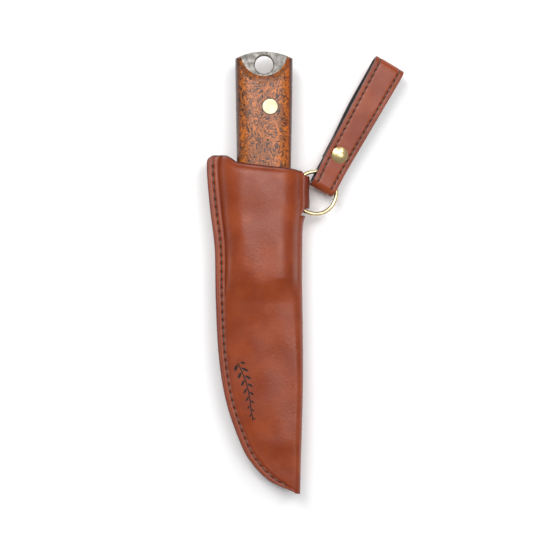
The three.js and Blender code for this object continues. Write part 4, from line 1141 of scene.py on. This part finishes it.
def rowStitches(name, path, rowFrom, rowTo, material, skipCap):
    # both rows of stitches on a band, on its outside face
    middles = np.arange(1, int((rowTo - rowFrom) / strap["pitch"]) + 1)
    place = rowFrom + middles * strap["pitch"]
    p = np.array(path, float)
    lengths = np.concatenate([[0], np.cumsum(np.linalg.norm(np.diff(p, axis=0), axis=1))])
    line = np.stack([np.interp(place, lengths, p[:, k]) for k in range(2)], -1)
    nextOne = np.stack([np.interp(place + 0.5, lengths, p[:, k]) for k in range(2)], -1)
    run = nextOne - line
    run /= np.linalg.norm(run, axis=1, keepdims=True)
    spots, aheads, ups = [], [], []
    for side in (-1, 1):
        x = side * (strapHalfWidth(line[:, 0]) - strap["stitchInset"])
        if skipCap:
            gone = np.hypot(x - strap["snapSideways"], line[:, 0] - strap["snapAlong"])
            use = gone > strap["capRadius"] + 0.3
        else:
            use = np.ones(len(x), bool)
        here = strapPlace(x, line[:, 0], line[:, 1])[use]
        ahead = strapPlace(x, line[:, 0] + run[:, 0], line[:, 1] + run[:, 1])[use] - here
        ahead /= np.linalg.norm(ahead, axis=1, keepdims=True)
        up = np.cross(ahead, np.broadcast_to(loopAcross, ahead.shape))
        up = -up if np.sum(up[:, 2] * run[use, 0]) < 0 else up
        spots.append(here - up * 0.1)
        aheads.append(ahead)
        ups.append(up)
    return makeStitches(name, np.concatenate(spots), np.concatenate(aheads), np.concatenate(ups),
                        strap["pitch"], material)


def bendAtNeck(piece, slot, *nodes):
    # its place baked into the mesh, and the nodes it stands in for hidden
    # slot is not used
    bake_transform(piece)
    if nodes:
        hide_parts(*nodes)


def bendAtTop(piece, slot, *nodes):
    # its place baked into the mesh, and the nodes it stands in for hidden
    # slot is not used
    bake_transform(piece)
    if nodes:
        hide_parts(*nodes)


print("belt loop")
lining = blackLeather()
strapMaterial = brownLeather("strap leather", strap["pitch"], strap["stitchInset"])
bandPath = strapBandPath()
bandPoints = np.array(bandPath)
bandLengths = np.concatenate([[0], np.cumsum(np.linalg.norm(np.diff(bandPoints, axis=0), axis=1))])
foldEnd = bandLengths[np.argmin(bandPoints[:, 0])]           # path length at the ring end
frontEnd = bandLengths[-1] - math.pi * strap["topTurn"] / 2  # and at the crest of the top turn
leatherDepths = (0.0, strap["leather"])
liningDepths = (strap["leather"], strap["leather"] + strap["lining"])
bendAtNeck(makeBand("strapLeather", bandPath, leatherDepths, strapMaterial, foldEnd + 4.2,
                    frontEnd - 1.2, strap["puff"]),
           "brown_leather", "ring_fold_leather", "strap_front", "strap_return")
bendAtNeck(makeBand("strapLining", bandPath, liningDepths, lining),
           "black_leather", "ring_fold_lining", "strap_front_lining", "strap_return_lining")
bendAtNeck(rowStitches("strapStitches", bandPath, foldEnd + 4.2, frontEnd - 1.2, thread, True),
           "thread", "strap_thread_left", "strap_thread_right")
backPath = flapPath()
bendAtTop(makeBand("flapLeather", backPath, leatherDepths, strapMaterial, 4.0, 56.0, strap["puff"]),
          "brown_leather", "flap_leather")
bendAtTop(makeBand("flapLining", backPath, liningDepths, lining), "black_leather", "flap_lining")
bendAtTop(rowStitches("flapStitches", backPath, 4.0, 56.0, thread, True),
          "thread", "flap_thread_left", "flap_thread_right")


# ---- snap fastener

def makeTurned(name, outline, material, sharpAngle=40):
    # [radius, height] pairs spun round the snap's axis
    turn = np.linspace(0, 2 * math.pi, 64, endpoint=False)
    radius, height = np.array(outline, float).T
    x = strap["snapSideways"] - strap["sideways"] + radius[:, None] * np.cos(turn)
    along = strap["snapAlong"] + radius[:, None] * np.sin(turn)
    points = strapPlace(x, along, np.broadcast_to(height[:, None], x.shape))
    return makePiece(name, points.reshape(-1, 3), [gridFaces(*x.shape, closeColumns=True)],
                     material, sharpAngle)


def domeOutline(radius, height, base, sign, post, postEnd):
    # a spherical cap with a rolled rim, on a straight post
    share = np.linspace(0, 1, 14)
    crown = [[radius * 0.93 * s, base + sign * (0.45 + (height - 0.45) * (1 - s**2.2))]
             for s in share]
    rim = [[radius * 0.975, base + sign * 0.36], [radius, base + sign * 0.2],
           [radius * 0.985, base + sign * 0.04], [radius * 0.93, base]]
    return crown + rim + [[post, base], [post, postEnd], [0.0, postEnd]]


print("snap")
snapBrass = brass("snap brass", (0.78, 0.6, 0.3, 1), 0.27)
finishPiece(makeTurned("snapCap", domeOutline(4.7, 1.6, strap["frontFace"] - 0.02, 1, 1.6, 0.6),
                       snapBrass), "belt_loop", "brass", "snap_cap")
finishPiece(makeTurned("studRivet", domeOutline(4.7, 1.25, flapOutside + 0.02, -1, 1.6,
                                                flapOutside + 1.5), snapBrass),
            "belt_flap", "brass", "stud_rivet")
socketTop, socketFoot = -1.0, -2.85
finishPiece(makeTurned("snapSocket", [
    [2.45, socketTop], [2.45, socketFoot + 0.25], [2.7, socketFoot], [3.2, socketFoot - 0.1],
    [4.0, socketFoot], [4.2, socketFoot + 0.3], [4.2, socketTop], [2.45, socketTop]], snapBrass),
    "belt_loop", "brass", "snap_socket")
studTop = -1.55
finishPiece(makeTurned("snapStud", [
    [0.0, studTop], [1.0, studTop - 0.05], [1.55, studTop - 0.3], [1.9, studTop - 0.75],
    [1.6, flapInside - 0.1], [3.9, flapInside - 0.15], [4.2, flapInside - 0.35],
    [4.2, flapInside - 0.8], [0.0, flapInside - 0.8]], snapBrass),
    "belt_flap", "brass", "snap_stud")


# ---- studio

studio = {
    "cameraPlace": (1.4, -30.7, 763.0), "lens": 90.46,
    "world": 0.31, "key": 8.4, "fill": 5.6, "strap": 1.5, "floor": (0.97, 0.97, 0.97, 1),
}


def addLight(name, place, size, power):
    # a flat light aimed at the middle of the floor
    light = bpy.data.lights.new(name, "AREA")
    light.shape, light.size, light.size_y = "RECTANGLE", size[0], size[1]
    light.energy = power
    lamp = bpy.data.objects.new(name, light)
    lamp.location = place
    direction = -np.array(place)
    bpy.context.scene.collection.objects.link(lamp)
    flatLength = math.hypot(direction[0], direction[1])
    lamp.rotation_euler = (math.atan2(flatLength, -direction[2]), 0,
                           math.atan2(direction[1], direction[0]) - math.pi / 2)
    return lamp


print("studio")
camera = bpy.data.objects.new("camera", bpy.data.cameras.new("camera"))
camera.location = [v * mm for v in studio["cameraPlace"]]
camera.data.lens = studio["lens"]
camera.data.sensor_width = 36.0
camera.data.clip_start = 0.01
bpy.context.scene.collection.objects.link(camera)
bpy.context.scene.camera = camera

addLight("key strip", (-0.35, 0.48, 1.0), (0.48, 0.8), studio["key"])
addLight("fill strip", (0.36, 0.34, 1.02), (0.34, 0.96), studio["fill"])
addLight("strap strip", (0.46, -0.12, 0.98), (0.14, 0.42), studio["strap"])
world = bpy.data.worlds.new("studio air")
bpy.context.scene.world = world
world.use_nodes = True
world.node_tree.nodes["Background"].inputs[0].default_value = (0.97, 0.98, 1.0, 1)
world.node_tree.nodes["Background"].inputs[1].default_value = studio["world"]
bpy.context.scene.view_settings.view_transform = "Standard"

floorMesh = bpy.data.meshes.new("floor")
floorMesh.from_pydata([(-3, -3, 0), (3, -3, 0), (3, 3, 0), (-3, 3, 0)], [], [(0, 1, 2, 3)])
floor = bpy.data.objects.new("floor", floorMesh)
bpy.context.scene.collection.objects.link(floor)
floorMaterial, _, floorShader = newMaterial("pale floor")
floorShader.inputs["Base Color"].default_value = studio["floor"]
floorShader.inputs["Roughness"].default_value = 0.9
floorMesh.materials.append(floorMaterial)
